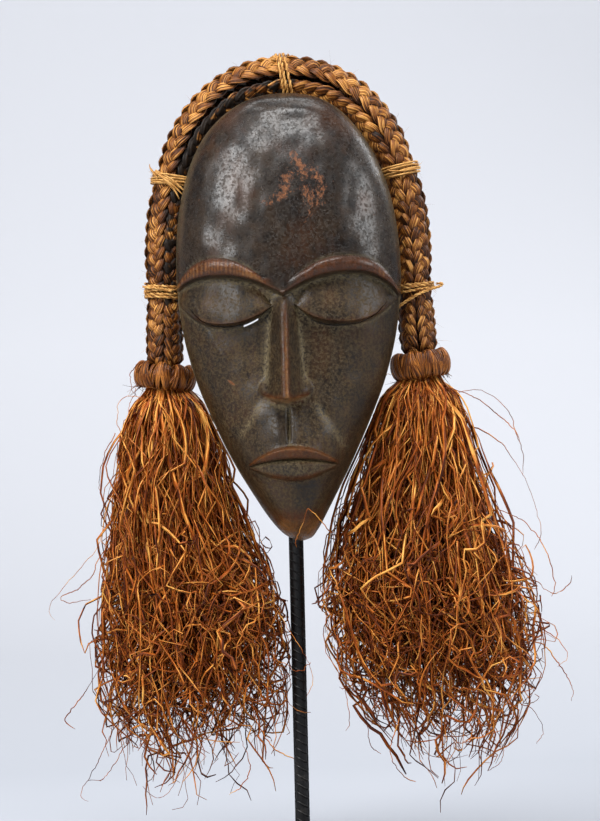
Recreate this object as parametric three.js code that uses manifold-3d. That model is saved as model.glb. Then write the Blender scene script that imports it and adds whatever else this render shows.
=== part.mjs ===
// A carved wooden face mask with a plaited fibre band, two fibre tassels and a steel stand.
// Millimetres, +Z up, the viewer looks along +Y and +X is the viewer's right.
// The origin is on the bar's axis, at the underside of the foot.

import * as THREE from "three";
import { mergeVertices } from "three/addons/utils/BufferGeometryUtils.js";
import Module from "manifold-3d";

// Driving dimensions of the mask. Heights are measured up from the point of the chin,
// depths forward from the flat back of the rim.
const maskHeight = 260;
const halfWidth = 65.1;
const widestAt = 155;
const crownPower = 2.25;
const rimDepth = 9;
const foreheadRise = 40;
const backInsetAcross = 0.058;
const backInsetUp = 0.03;
const hollowAcross = 0.8;
const hollowUp = 0.91;
const hollowDown = 0.925;
const wall = 8.5;
const noseLine = -4.2;
const ridgeLine = noseLine + 0.4;
const slitHeight = 1.5;
const slitRise = 0.36;
const eyeDepth = 42;
const cutPast = 2;
const carvingTolerance = 0.04;

// Driving dimensions of the stand
const footSide = 140;
const footThickness = 10;
const footBevel = 1.5;
const socketDepth = 6;
const barRadius = 4.3;
const bendRadius = 14;
const barTurnsAt = 232;
const barReach = 12;
const gap = 0.3;

// Driving dimensions of the band, collars and tassels
const chinAbove = 197.3;
const braidSpread = 6.9;
const braidWidth = 7.9;
const lobePitch = 5.7;
const lobeShift = 0.75;
const tieWidth = 5.5;
const twine = 1.3;
const tieSqueeze = 0.14;
const collarSqueeze = 0.22;
const collarHole = 9.3;
const locks = 10;
const tasselDepth = 40;

const backPlane = -(barRadius + gap);

const { abs, max, min, sin, cos, PI, hypot, sqrt, exp, floor, round } = Math;

// Mathematical helpers

function ramp(from, to, x) {
  const t = min(max((x - from) / (to - from), 0), 1);
  return t * t * (3 - 2 * t);
}

function bump(x, spread) {
  return exp(-((x / spread) ** 2));
}

function above0(x, power) {
  return max(x, 0) ** power;
}

// A smooth line through a few [place, value] stations, which never overshoots them
function smoothLine(stations) {
  const steps = stations.slice(1).map(([x, y], i) => (y - stations[i][1]) / (x - stations[i][0]));
  const slopes = stations.map((_, i) => {
    if (i === 0) return steps[0];
    if (i === steps.length) return steps[i - 1];
    const [before, after] = [steps[i - 1], steps[i]];
    return before * after > 0 ? (2 * before * after) / (before + after) : 0;
  });
  return (x) => {
    let i = 0;
    while (i < steps.length - 1 && x > stations[i + 1][0]) i += 1;
    const [[x0, y0], [x1, y1]] = [stations[i], stations[i + 1]];
    const length = x1 - x0;
    const t = min(max((x - x0) / length, 0), 1);
    const rise = y0 * (1 + 2 * t) * (1 - t) ** 2 + y1 * t * t * (3 - 2 * t);
    return rise + length * (slopes[i] * t * (1 - t) ** 2 + slopes[i + 1] * t * t * (t - 1));
  };
}

// An arch from one end over its peak, or under its lowest point, to the other end
function arch(start, peak, end, startPower, endPower) {
  return (across) => {
    const [foot, power] = across < peak[0] ? [start, startPower] : [end, endPower];
    const share = min(abs((across - peak[0]) / (foot[0] - peak[0])), 1);
    return peak[1] + (foot[1] - peak[1]) * share ** power;
  };
}

// The outline of the mask: an egg that narrows to the chin

const jaw = smoothLine([[0, 0], [2, 6.2], [6, 10.6], [12, 15], [24, 22.2], [45, 33.8], [70, 45.5],
  [95, 55.3], [120, 61.7], [140, 64.4], [widestAt, halfWidth]]);
const middle = smoothLine([[0, 3.8], [6, 2], [20, 0.6], [60, -0.6], [150, -0.6], [200, -1.3],
  [235, -2.2], [maskHeight, -0.8]]);

function crownShare(height) {
  return min(max((height - widestAt) / (maskHeight - widestAt), 0), 1);
}

function outline(height) {
  if (height < widestAt) return jaw(max(height, 0));
  return halfWidth * above0(1 - crownShare(height) ** crownPower, 1 / crownPower);
}

// The form of the wood before the features: a domed forehead over convex cheeks

const cheekRise = smoothLine([[0, 0], [3, 13], [8, 22], [16, 28], [30, 32], [50, 34], [75, 32],
  [100, 31], [125, 32], [155, 34], [200, 34]]);

const browLeft = arch([-64, 150.4], [-42, 163.6], [noseLine, 144], 3, 1.7);
const browRight = arch([noseLine, 144], [32, 164], [63, 144], 1.77, 2.4);

function brow(across) {
  return across < noseLine ? browLeft(across) : browRight(across);
}

function dome(across, height) {
  const out = abs(across - middle(height)) / halfWidth;
  const inside = 1 - out ** crownPower - crownShare(height) ** crownPower;
  return rimDepth + foreheadRise * above0(inside, 0.52);
}

function cheeks(across, height) {
  const out = abs(across - middle(height)) / max(outline(height), 0.001);
  return rimDepth + cheekRise(height) * above0(1 - out ** 2.3, 0.62);
}

function block(across, height) {
  const over = ramp(-6.5, -1, height - brow(across));
  return cheeks(across, height) * (1 - over) + dome(across, height) * over;
}

// The features

function browRoll(across, height) {
  const up = height - brow(across) + 2.2;
  const out = abs(across - middle(height)) / max(outline(height), 0.001);
  const proud = (1 + 1.6 * ramp(0, 14, abs(across - noseLine))) * ramp(1, 0.93, out);
  return proud * bump(up, up > 0 ? 2.6 : 3.2);
}

const eyes = [
  {
    corners: [-64.2, -10.2],
    upper: arch([-64.2, 140.6], [-40, 153], [-10.2, 135.7], 4.5, 3),
    lower: arch([-64.2, 138.6], [-38, 124.1], [-10.2, 135.6], 2.5, 2.2),
  },
  {
    corners: [2.6, 61.6],
    upper: arch([2.6, 136.5], [32, 154.2], [61.6, 139.4], 4, 2.4),
    lower: arch([2.6, 136.4], [31, 124.1], [61.6, 139.2], 2.8, 2.2),
  },
];

function lid(eye, across, height) {
  const [from, to] = eye.corners;
  if (across <= from || across >= to) return 0;
  const low = eye.lower(across);
  const share = (height - low) / max(eye.upper(across) - low, 0.2);
  const taper = sqrt((4 * (across - from) * (to - across)) / (to - from) ** 2);
  const swell = 7.5 * ramp(-0.035, 0.075, share) * above0(1 - share, 0.75) * (1 + 0.55 * share);
  return taper * (swell - 1.6 * bump(height - low + 1.1, 1));
}

const noseRise = smoothLine([[78, 20], [84, 22.5], [90, 22], [105, 18.5], [120, 14.5], [135, 10],
  [147, 5], [152, 0]]);
const noseSpread = smoothLine([[78, 9.5], [90, 9.5], [105, 8.8], [120, 7.8], [135, 6.6], [150, 5.2]]);

function nose(across, height) {
  const side = abs(across - ridgeLine);
  const underside = 78.6 + 0.035 * side * side;
  const crest = 1.5;
  const slope = min(max(side - crest, 0) / (noseSpread(height) - crest), 1);
  const ridge = noseRise(height) * above0(1 - slope, 0.85);
  const wingShare = ((side - 10.2) / 6.6) ** 2 + ((height - 90) / 10) ** 2;
  const wing = 6.5 * above0(1 - wingShare, 0.6);
  const joined = (ridge + wing + sqrt((ridge - wing) ** 2 + 4) - 2) / 2;
  return joined * ramp(underside, underside + 3, height);
}

const mouthWidth = 25.5;
const lipTop = arch([-mouthWidth, 45.2], [0.3, 55.2], [mouthWidth, 45.4], 2.1, 2.1);
const lipParting = arch([-mouthWidth, 44], [0, 47.8], [mouthWidth, 44.6], 2, 2);
const lipBottom = arch([-mouthWidth, 43.2], [0, 36.9], [mouthWidth, 44], 1.8, 1.8);

function lips(across, height) {
  if (abs(across) >= mouthWidth) return 0;
  const part = lipParting(across);
  const up = (height - part) / max(lipTop(across) - part, 0.3);
  const down = (part - height) / max(part - lipBottom(across), 0.3);
  const upper = 4.2 * ramp(1.15, 0.8, up) * (0.55 + 0.45 * min(max(up, 0), 1)) * ramp(-0.05, 0.15, up);
  const full = 0.6 + 0.4 * above0(min(down, 1), 0.7);
  const lower = 4.6 * ramp(1.15, 0.75, down) * full * ramp(-0.05, 0.2, down);
  const taper = (1 - (across / mouthWidth) ** 2) ** 0.45;
  return taper * (upper + lower - 1.2 * bump(height - part, 0.9));
}

function muzzle(across, height) {
  const swell = 5.5 * bump(hypot(across + 0.5, height - 54), 27) * ramp(0, 10, height);
  const underLip = 1.6 * bump(hypot((across + 0.5) / 20, (height - 33) / 5.5), 1);
  const span = ramp(56, 62, height) * ramp(80, 73, height);
  const side = abs(across + 3);
  return swell - underLip + span * (1.5 * bump(side - 6.2, 2.8) - 1.4 * bump(side, 1.6));
}

function front(across, height) {
  const lids = eyes.reduce((sum, eye) => sum + lid(eye, across, height), 0);
  return block(across, height) + browRoll(across, height) + lids
    + nose(across, height) + lips(across, height) + muzzle(across, height);
}

// Geometry helpers

function solid(geometry) {
  const bare = geometry.clone();
  bare.deleteAttribute("normal");
  bare.deleteAttribute("uv");
  const merged = mergeVertices(bare, 1e-4);
  return new kernel.Manifold(new kernel.Mesh({
    numProp: 3,
    vertProperties: Float32Array.from(merged.attributes.position.array),
    triVerts: Uint32Array.from(merged.index.array),
  }));
}

function geometryOf(body) {
  const mesh = body.getMesh();
  const geometry = new THREE.BufferGeometry();
  geometry.setAttribute("position", new THREE.BufferAttribute(Float32Array.from(mesh.vertProperties), 3));
  geometry.setIndex(new THREE.BufferAttribute(Uint32Array.from(mesh.triVerts), 1));
  return geometry;
}

function geometryFrom(points, triangles) {
  const geometry = new THREE.BufferGeometry().setFromPoints(points);
  geometry.setIndex(triangles.flat());
  return geometry;
}

// A closed skin over rings of points that run anticlockwise, seen from the far end
function loft(rings, joined = false) {
  const sides = rings[0].length;
  const points = rings.flat();
  const triangles = [];
  const spans = joined ? rings.length : rings.length - 1;
  for (let i = 0; i < spans; i += 1) {
    for (let j = 0; j < sides; j += 1) {
      const a = i * sides + j;
      const b = i * sides + ((j + 1) % sides);
      const c = ((i + 1) % rings.length) * sides + j;
      const d = ((i + 1) % rings.length) * sides + ((j + 1) % sides);
      triangles.push([a, b, d], [a, d, c]);
    }
  }
  if (!joined) {
    const last = (rings.length - 1) * sides;
    for (let j = 1; j < sides - 1; j += 1) {
      triangles.push([0, j + 1, j], [last, last + j, last + j + 1]);
    }
  }
  return geometryFrom(points, triangles);
}

// A carved surface over the outline, closed by walls and a flat back

function place(across, height, depth) {
  return new THREE.Vector3(across, backPlane - depth, chinAbove + height);
}

function spread(spans) {
  const places = [];
  for (const [from, to, count] of spans) {
    for (let i = 0; i < count; i += 1) places.push(from + ((to - from) * i) / count);
  }
  const last = spans[spans.length - 1];
  return [...places, last[1]];
}

function mirrored(shares) {
  return [...shares.slice(1).map((share) => -share).reverse(), ...shares];
}

function carvedBlock(columns, rows, surface, behind) {
  const points = [];
  const triangles = [];
  const wide = columns.length;
  const tall = rows.length;
  for (const height of rows) {
    for (const share of columns) points.push(surface(share, height));
  }
  for (let j = 0; j < tall - 1; j += 1) {
    for (let i = 0; i < wide - 1; i += 1) {
      const a = j * wide + i;
      triangles.push([a, a + 1, a + wide + 1], [a, a + wide + 1, a + wide]);
    }
  }
  const rim = [];
  for (let i = 0; i < wide - 1; i += 1) rim.push(i);
  for (let j = 0; j < tall - 1; j += 1) rim.push(j * wide + wide - 1);
  for (let i = wide - 1; i > 0; i -= 1) rim.push((tall - 1) * wide + i);
  for (let j = tall - 1; j > 0; j -= 1) rim.push(j * wide);
  const first = points.length;
  for (const corner of rim) points.push(behind(points[corner]));
  rim.forEach((corner, k) => {
    const next = rim[(k + 1) % rim.length];
    const below = first + k;
    const belowNext = first + ((k + 1) % rim.length);
    triangles.push([corner, below, belowNext], [corner, belowNext, next]);
  });
  const contour = rim.map((_, k) => new THREE.Vector2(points[first + k].x, points[first + k].z));
  for (const [a, b, c] of THREE.ShapeUtils.triangulateShape(contour, [])) {
    triangles.push([first + a, first + c, first + b]);
  }
  return geometryFrom(points, triangles);
}

// Columns are counted from the line of the nose, so that its ridge stays a clean edge
function acrossAt(share, height) {
  const centre = middle(height);
  const reach = outline(height);
  const onFace = ramp(8, 40, height) * ramp(maskHeight - 8, maskHeight - 60, height);
  const from = centre + (ridgeLine - centre) * onFace;
  const side = share < 0 ? from - (centre - reach) : centre + reach - from;
  return from + share * side;
}

// The rows of the surface follow the carved edges: the lips, lids and brows
const rowsBetween = [3, 3, 3, 3, 4, 3, 5, 3, 5, 2, 2, 2, 5, 4, 3];

function carvedEdges(across) {
  const eye = across < noseLine ? eyes[0] : eyes[1];
  const low = eye.lower(across);
  const edges = [0.4, 8, lipBottom(across) - 1, lipParting(across), lipTop(across) + 1, 78, 85,
    low - 2.4, low + 0.8, eye.upper(across), brow(across) - 4.8, brow(across) - 2.2,
    brow(across) + 1.4, 215, 247, 259.6];
  for (let i = 1; i < edges.length; i += 1) edges[i] = max(edges[i], edges[i - 1] + 0.4);
  return edges;
}

function rowHeight(row, across) {
  const edges = carvedEdges(across);
  let left = row;
  let span = 0;
  while (span < rowsBetween.length - 1 && left > rowsBetween[span]) {
    left -= rowsBetween[span];
    span += 1;
  }
  return edges[span] + ((edges[span + 1] - edges[span]) * left) / rowsBetween[span];
}

function outerBlock() {
  const columns = mirrored([0, 0.028, 0.1, 0.16, 0.22, 0.32, 0.44, 0.56, 0.67, 0.77, 0.86, 0.93,
    0.975, 1]);
  const rowCount = rowsBetween.reduce((sum, count) => sum + count, 0);
  const rows = Array.from({ length: rowCount + 1 }, (_, row) => row);
  const surface = (share, row) => {
    let across = 0;
    for (let pass = 0; pass < 12; pass += 1) {
      across = (across + acrossAt(share, rowHeight(row, across))) / 2;
    }
    const height = rowHeight(row, across);
    across = acrossAt(share, height);
    return place(across, height, front(across, height));
  };
  const behind = (point) => {
    const across = (point.x - middle(widestAt)) * (1 - backInsetAcross) + middle(widestAt);
    const height = widestAt + (point.z - chinAbove - widestAt) * (1 - backInsetUp);
    return place(across, height, 0);
  };
  return carvedBlock(columns, rows, surface, behind);
}

// The hollow is a smaller copy of the block, at a wall's thickness behind its front
function hollowBlock() {
  const columns = mirrored([0, 0.35, 0.65, 0.86, 0.96, 1]);
  const rows = spread([[1.5, 30, 2], [30, 155, 4], [155, 235, 4], [235, 259, 3]]);
  const surface = (share, blockHeight) => {
    const out = share * outline(blockHeight);
    const centre = middle(blockHeight);
    const shrink = blockHeight > widestAt ? hollowUp : hollowDown;
    const height = widestAt + (blockHeight - widestAt) * shrink;
    return place(centre + out * hollowAcross, height, max(block(centre + out, blockHeight) - wall, 0));
  };
  const behind = (point) => new THREE.Vector3(point.x, backPlane + cutPast, point.z);
  return carvedBlock(columns, rows, surface, behind);
}

// A cut between two lines, run through the wood from front to back
function throughCut(from, to, upperEdge, lowerEdge, rise) {
  const steps = 9;
  const shape = new THREE.Shape();
  for (let i = 0; i <= steps; i += 1) {
    const across = from + ((to - from) * i) / steps;
    const point = [across, lowerEdge(across)];
    if (i === 0) shape.moveTo(...point);
    else shape.lineTo(...point);
  }
  for (let i = steps; i >= 0; i -= 1) {
    const across = from + ((to - from) * i) / steps;
    shape.lineTo(across, upperEdge(across));
  }
  const cut = new THREE.ExtrudeGeometry(shape, { depth: 60, bevelEnabled: false });
  const lean = new THREE.Matrix4();
  lean.set(1, 0, 0, 0, 0, 0, -1, backPlane + cutPast, 0, 1, -rise, 0, 0, 0, 0, 1);
  cut.applyMatrix4(lean);
  cut.translate(0, 0, chinAbove + rise * eyeDepth);
  return cut;
}

function eyeSlit(eye) {
  const inset = 6;
  const [from, to] = [eye.corners[0] + inset, eye.corners[1] - inset];
  const upper = (across) => eye.lower(across) - 0.4;
  const lower = (across) => {
    const swell = above0(sin((PI * (across - from)) / (to - from)), 0.6);
    return upper(across) - slitHeight * (0.15 + 0.85 * swell);
  };
  return throughCut(from, to, upper, lower, slitRise);
}

// The left slit gapes a little towards the nose, where light comes through
function eyeGape(eye) {
  const upper = (across) => eye.lower(across) - 0.3;
  return throughCut(-27, -18.5, upper, (across) => upper(across) - 1.3, 0);
}

// The band runs up from one collar, over the crown and down to the other

const collars = [
  { x: -74.3, z: 294.9, tilt: 7.7, width: 36, height: 16 },
  { x: 75.2, z: 298.3, tilt: -7, width: 35, height: 17 },
];
const bandDepth = backPlane + 5.5;
const archHalf = 72.7;
const archRise = 114;

function bandCurve() {
  const points = [new THREE.Vector3(collars[0].x, bandDepth, collars[0].z + 0.5)];
  points.push(new THREE.Vector3(-archHalf - 1.2, bandDepth, chinAbove + 124));
  const steps = 24;
  for (let i = 0; i <= steps; i += 1) {
    const turn = PI - (PI * i) / steps;
    const across = Math.sign(cos(turn)) * abs(cos(turn)) ** (2 / crownPower) * archHalf;
    const up = above0(sin(turn), 2 / crownPower) * archRise;
    points.push(new THREE.Vector3(across + middle(widestAt), bandDepth, chinAbove + widestAt + up));
  }
  points.push(new THREE.Vector3(archHalf + 0.9, bandDepth, chinAbove + 124));
  points.push(new THREE.Vector3(collars[1].x, bandDepth, collars[1].z + 0.5));
  return new THREE.CatmullRomCurve3(points, false, "centripetal");
}

const band = bandCurve();
const bandLength = band.getLength();
const toFront = new THREE.Vector3(0, -1, 0);

function bandFrame(share) {
  const at = band.getPointAt(share);
  const along = band.getTangentAt(share);
  return { at, along, outward: new THREE.Vector3(-along.z, 0, along.x) };
}

// Where along the band a height is passed, on the way up or on the way down
function bandShareAt(height, rising) {
  let share = rising ? 0 : 1;
  const step = rising ? 0.001 : -0.001;
  while (band.getPointAt(share).z < chinAbove + height) share += step;
  return share;
}

const ties = [
  { name: "tie_left_lower", share: bandShareAt(147, true) },
  { name: "tie_left_upper", share: bandShareAt(211, true) },
  { name: "tie_top", share: 0.5 },
  { name: "tie_right_upper", share: bandShareAt(214, false) },
  { name: "tie_right_lower", share: bandShareAt(145, false) },
];

// The band is drawn in at each tie and in the collars
function drawnIn(share) {
  const along = share * bandLength;
  const atTies = ties.reduce((sum, tie) => sum + bump(along - tie.share * bandLength, 11), 0);
  const toEnd = min(along, bandLength - along);
  return 1 - tieSqueeze * min(atTies, 1) - collarSqueeze * ramp(16, 8, toEnd);
}

const braids = [
  { name: "braid_front_outer", angle: 54, plaited: true },
  { name: "braid_front_inner", angle: 126, plaited: true },
  { name: "braid_side_inner", angle: 198, plaited: false },
  { name: "braid_back", angle: 270, plaited: false },
  { name: "braid_side_outer", angle: 342, plaited: false },
];

function onBand(frame, outwards, forwards) {
  return frame.at.clone().addScaledVector(frame.outward, outwards).addScaledVector(toFront, forwards);
}

function braid({ angle, plaited }) {
  const sides = 5;
  const lobes = 2 * round(bandLength / lobePitch / 2);
  const spans = plaited ? lobes : lobes / 2;
  const turn = (angle * PI) / 180;
  const rings = [];
  for (let i = 0; i <= spans; i += 1) {
    const share = i / spans;
    const frame = bandFrame(share);
    const drawn = drawnIn(share);
    const lobe = plaited ? (i % 2 ? 1 : -1) * lobeShift * ramp(0.9, 1, drawn) : 0;
    const ring = [];
    for (let j = 0; j < sides; j += 1) {
      const round5 = turn + (2 * PI * j) / sides;
      const reach = braidSpread * drawn;
      const radius = (braidWidth / 2) * drawn;
      ring.push(onBand(frame, reach * cos(turn) + radius * cos(round5) + lobe,
        reach * sin(turn) + radius * sin(round5)));
    }
    rings.push(ring);
  }
  return loft(rings);
}

// A tube along a row of points, whose rings stand square to the path
function tube(points, radii, sides, upright) {
  const rings = points.map((point, i) => {
    const along = points[min(i + 1, points.length - 1)].clone().sub(points[max(i - 1, 0)]).normalize();
    const aside = upright.clone().addScaledVector(along, -upright.dot(along)).normalize();
    const third = along.clone().cross(aside);
    return Array.from({ length: sides }, (_, j) => {
      const turn = (2 * PI * j) / sides;
      const reach = aside.clone().multiplyScalar(cos(turn)).addScaledVector(third, sin(turn));
      return point.clone().addScaledVector(reach, radii[i]);
    });
  });
  return loft(rings);
}

// A lashing: a winding round the band, and a strand through a hole in the mask's rim
const holeDepth = 4.2;
const holeRadius = 1.25;
const bandToBack = bandDepth - backPlane;

function lashing({ share }) {
  const frame = bandFrame(share);
  const steps = 14;
  const bundle = (braidSpread + braidWidth / 2) * drawnIn(share + tieWidth / 2 / bandLength);
  const inner = (bundle + 1.5 * gap) / cos(PI / steps);
  const outer = inner + twine;
  const rings = [];
  for (let i = 0; i < steps; i += 1) {
    const turn = (2 * PI * i) / steps;
    const corners = [[outer, -0.8], [inner, -1], [inner, 1], [outer, 0.8]];
    rings.push(corners.map(([radius, side]) => onBand(frame, radius * cos(turn), radius * sin(turn))
      .addScaledVector(frame.along, (side * tieWidth) / 2)));
  }
  const path = [[-8.3, -1], [-8.5, holeDepth - 0.3], [-23.4, holeDepth], [-23.8, -1], [-10.2, -1.4]];
  const points = path.map(([outwards, depth]) => onBand(frame, outwards, depth + bandToBack));
  const strand = tube(points, points.map(() => twine / 2), 4, frame.along);
  return solid(loft(rings, true)).add(solid(strand));
}

function rimHole({ share }) {
  const frame = bandFrame(share);
  const ends = [-6, -26].map((outwards) => onBand(frame, outwards, holeDepth + bandToBack));
  return tube(ends, [holeRadius, holeRadius], 8, frame.along);
}

// A collar wound from fibre, with a hole for the end of the band
function collar({ x, z, tilt, width, height }) {
  const ringWidth = (width / 2 - collarHole) / 2;
  const torus = new THREE.TorusGeometry(collarHole + ringWidth, ringWidth, 7, 14);
  torus.scale(1, 1, height / 2 / ringWidth);
  torus.rotateY((tilt * PI) / 180);
  torus.translate(x, bandDepth, z);
  return torus;
}

// A tassel: a fluted bell of fibre locks with a ragged lower end and a few stray locks
const tassels = [
  {
    name: "tassel_left",
    collar: collars[0],
    left: smoothLine([[70, -104], [78, -113], [118, -117], [165, -116], [211, -112], [252, -108],
      [277, -98.5], [281, -94], [284, -87], [287, -82.8], [295, -82.4]]),
    right: smoothLine([[70, -18], [78, -9], [95, -4.5], [141, -4.5], [165, -8], [188, -14.5], [211, -25],
      [234, -31.6], [252, -38.4], [277, -49.5], [281, -54], [284, -61.5], [287, -65.8], [295, -66.2]]),
    bottom: 78,
    strays: [[-98, 190, -134, 120, -8], [-95, 150, -127, 88, 8], [-60, 110, -48, 58, -16]],
  },
  {
    name: "tassel_right",
    collar: collars[1],
    left: smoothLine([[70, 66], [92, 43], [115, 26.5], [138, 17], [161, 14.5], [184, 17], [208, 22],
      [231, 29.5], [248, 37], [280, 50.5], [284, 55], [287, 62.5], [290, 66.7], [298, 67.1]]),
    right: smoothLine([[70, 113], [92, 130], [115, 142], [138, 145], [161, 143.5], [184, 135.5],
      [208, 125.5], [231, 115.5], [248, 109], [280, 99], [284, 94.5], [287, 87.5], [290, 83.7], [298, 83.3]]),
    bottom: 70,
    strays: [[128, 190, 151, 108, 12], [112, 130, 124, 58, -18], [52, 150, 26, 78, -24]],
  },
];

function bell({ collar: top, left, right, bottom }) {
  const sides = locks * 3;
  const start = top.z - 1;
  const rings = [];
  for (const drop of [0, 7.5, 11, 17, 32, 60, 95, 130, 165, 192, start - bottom]) {
    const height = start - drop;
    const down = drop / (start - bottom);
    const half = (right(height) - left(height)) / 2;
    const centre = (right(height) + left(height)) / 2;
    const deep = (half * tasselDepth) / hypot(half, tasselDepth);
    const flute = 0.17 * ramp(0.03, 0.4, down);
    rings.push(Array.from({ length: sides }, (_, j) => {
      const turn = (2 * PI * j) / sides;
      const valley = j % 3 === 0 ? 1 - flute : 1;
      const ragged = 11 * sin(2.6 * floor(j / 3)) * ramp(0.6, 1, down);
      const hang = j % 3 === 0 ? -6 * ramp(0.6, 1, down) : ragged;
      return new THREE.Vector3(centre + half * valley * cos(turn),
        bandDepth - deep * valley * sin(turn), height - hang);
    }));
  }
  return loft(rings);
}

function strayLock([fromX, fromZ, toX, toZ, depth]) {
  const steps = 5;
  const points = [];
  const radii = [];
  for (let i = 0; i <= steps; i += 1) {
    const t = i / steps;
    const bow = 7 * sin(PI * t);
    points.push(new THREE.Vector3(fromX + (toX - fromX) * t + Math.sign(toX - fromX) * bow,
      bandDepth + depth, fromZ + (toZ - fromZ) * t));
    radii.push(3.2 * (1 - t) + 0.4);
  }
  return tube(points, radii, 4, new THREE.Vector3(0, 1, 0));
}

function tassel(form) {
  const barChannel = new THREE.CylinderGeometry(barRadius + 0.6, barRadius + 0.6, 400, 12);
  barChannel.rotateX(PI / 2);
  barChannel.translate(0, 0, 200);
  const whole = form.strays.reduce((body, stray) => body.add(solid(strayLock(stray))), solid(bell(form)));
  return whole.subtract(solid(barChannel));
}

// The stand: a steel bar that stands in a foot plate and bends forward into the hollow
function bar() {
  const low = footThickness - socketDepth + gap;
  const turnAt = chinAbove + barTurnsAt - bendRadius;
  const points = [new THREE.Vector3(0, 0, low)];
  const steps = 5;
  for (let i = 0; i <= steps; i += 1) {
    const turn = (PI / 2) * (i / steps);
    points.push(new THREE.Vector3(0, -bendRadius * (1 - cos(turn)), turnAt + bendRadius * sin(turn)));
  }
  points.push(new THREE.Vector3(0, -bendRadius - barReach, turnAt + bendRadius));
  return tube(points, points.map(() => barRadius), 10, new THREE.Vector3(1, 0, 0));
}

function foot() {
  const half = footSide / 2 - footBevel;
  const square = new THREE.Shape();
  square.moveTo(-half, -half);
  square.lineTo(half, -half);
  square.lineTo(half, half);
  square.lineTo(-half, half);
  const plate = new THREE.ExtrudeGeometry(square, {
    depth: footThickness - 2 * footBevel,
    bevelThickness: footBevel,
    bevelSize: footBevel,
    bevelSegments: 1,
  });
  plate.translate(0, 0, footBevel);
  const socketRadius = (barRadius + gap) / cos(PI / 16);
  const socket = new THREE.CylinderGeometry(socketRadius, socketRadius, 2 * socketDepth, 16);
  socket.rotateX(PI / 2);
  socket.translate(0, 0, footThickness);
  return solid(plate).subtract(solid(socket));
}

// The whole object

const group = new THREE.Group();

function add(name, geometry, { colour, roughness, metalness = 0 }) {
  const material = new THREE.MeshStandardMaterial({ color: colour, roughness, metalness });
  const mesh = new THREE.Mesh(geometry, material);
  mesh.name = name;
  group.add(mesh);
}

const kernel = await Module();
kernel.setup();

const wood = { colour: 0x3a3027, roughness: 0.45 };
const plait = { colour: 0x9a7348, roughness: 0.7 };
const raffia = { colour: 0x7a3f1a, roughness: 0.75 };
const string = { colour: 0xb08a55, roughness: 0.8 };
const blackSteel = { colour: 0x161616, roughness: 0.5, metalness: 0.8 };

const carved = solid(outerBlock()).subtract(solid(hollowBlock()));
const slits = [...eyes.map(eyeSlit), eyeGape(eyes[0])];
const seeing = slits.reduce((body, slit) => body.subtract(solid(slit)), carved);
const bored = ties.reduce((body, tie) => body.subtract(solid(rimHole(tie))), seeing);
add("mask_face", geometryOf(bored.simplify(carvingTolerance)), wood);
braids.forEach((strand) => add(strand.name, braid(strand), plait));
ties.forEach((tie) => add(tie.name, geometryOf(lashing(tie)), string));
add("ring_left", collar(collars[0]), plait);
add("ring_right", collar(collars[1]), plait);
tassels.forEach((form) => add(form.name, geometryOf(tassel(form)), raffia));
add("stand_bar", bar(), blackSteel);
add("stand_foot", geometryOf(foot()), blackSteel);

export default group;
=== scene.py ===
import math

import bpy
import numpy as np
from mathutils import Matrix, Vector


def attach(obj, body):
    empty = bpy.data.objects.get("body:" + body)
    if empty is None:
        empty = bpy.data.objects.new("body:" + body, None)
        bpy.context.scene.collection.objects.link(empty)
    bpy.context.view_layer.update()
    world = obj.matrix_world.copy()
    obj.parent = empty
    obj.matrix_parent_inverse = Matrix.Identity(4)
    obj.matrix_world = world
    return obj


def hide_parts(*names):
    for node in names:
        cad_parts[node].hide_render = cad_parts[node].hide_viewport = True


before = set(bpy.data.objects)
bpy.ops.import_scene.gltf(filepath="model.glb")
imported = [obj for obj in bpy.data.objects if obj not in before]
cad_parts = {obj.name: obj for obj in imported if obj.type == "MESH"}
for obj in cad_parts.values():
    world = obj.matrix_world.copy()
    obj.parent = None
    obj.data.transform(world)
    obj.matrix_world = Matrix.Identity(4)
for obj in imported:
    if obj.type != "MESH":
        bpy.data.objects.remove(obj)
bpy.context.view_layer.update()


# The foot: a square plate of 10 mm steel, sawn, its edges rounded with a file, drilled in the
# middle for the bar and blackened all over. The bar stands 6 mm deep in the hole.
MM = 0.001
FOOT_SIDE = 140
FOOT_THICKNESS = 10
FOOT_EDGE = 1.4
SOCKET_RADIUS = 4.6
SOCKET_DEPTH = 6
BLACKING = (13, 12, 12)
BARE_STEEL = (84, 80, 76)
PIT_DEPTH = 0.00012


def nothing_selected():
    if bpy.context.object and bpy.context.object.mode != "OBJECT":
        bpy.ops.object.mode_set(mode="OBJECT")
    bpy.ops.object.select_all(action="DESELECT")


def only(piece):
    nothing_selected()
    piece.select_set(True)
    bpy.context.view_layer.objects.active = piece


def named(name):
    """The object an operator has just added, under its own name and with its place in its mesh."""
    piece = bpy.context.object
    piece.name = piece.data.name = name
    bpy.ops.object.transform_apply(location=True, rotation=True, scale=True)
    return piece


def added(name, add, **sizes):
    """A new mesh object by one of the operators that add a plain shape."""
    nothing_selected()
    add(**sizes)
    return named(name)


def apply_modifiers(piece):
    only(piece)
    for modifier in list(piece.modifiers):
        bpy.ops.object.modifier_apply(modifier=modifier.name)


def bevel(piece, width, segments):
    rounding = piece.modifiers.new("rounded edges", "BEVEL")
    rounding.width = width * MM
    rounding.segments = segments
    apply_modifiers(piece)


def cut_with(piece, cutter, solver="EXACT"):
    cut = piece.modifiers.new("cut", "BOOLEAN")
    cut.object = cutter
    cut.operation = "DIFFERENCE"
    cut.solver = solver
    apply_modifiers(piece)
    bpy.data.objects.remove(cutter)


def smooth(piece, corner):
    """Shades a piece smooth, but for edges sharper than an angle in degrees."""
    only(piece)
    bpy.ops.object.shade_smooth_by_angle(angle=math.radians(corner))


def fix(piece, material, node):
    """Gives a finished piece its material and hangs it on the frame in place of its node."""
    piece.data.materials.clear()
    piece.data.materials.append(material)
    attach(piece, "root")
    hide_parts(node)


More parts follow.
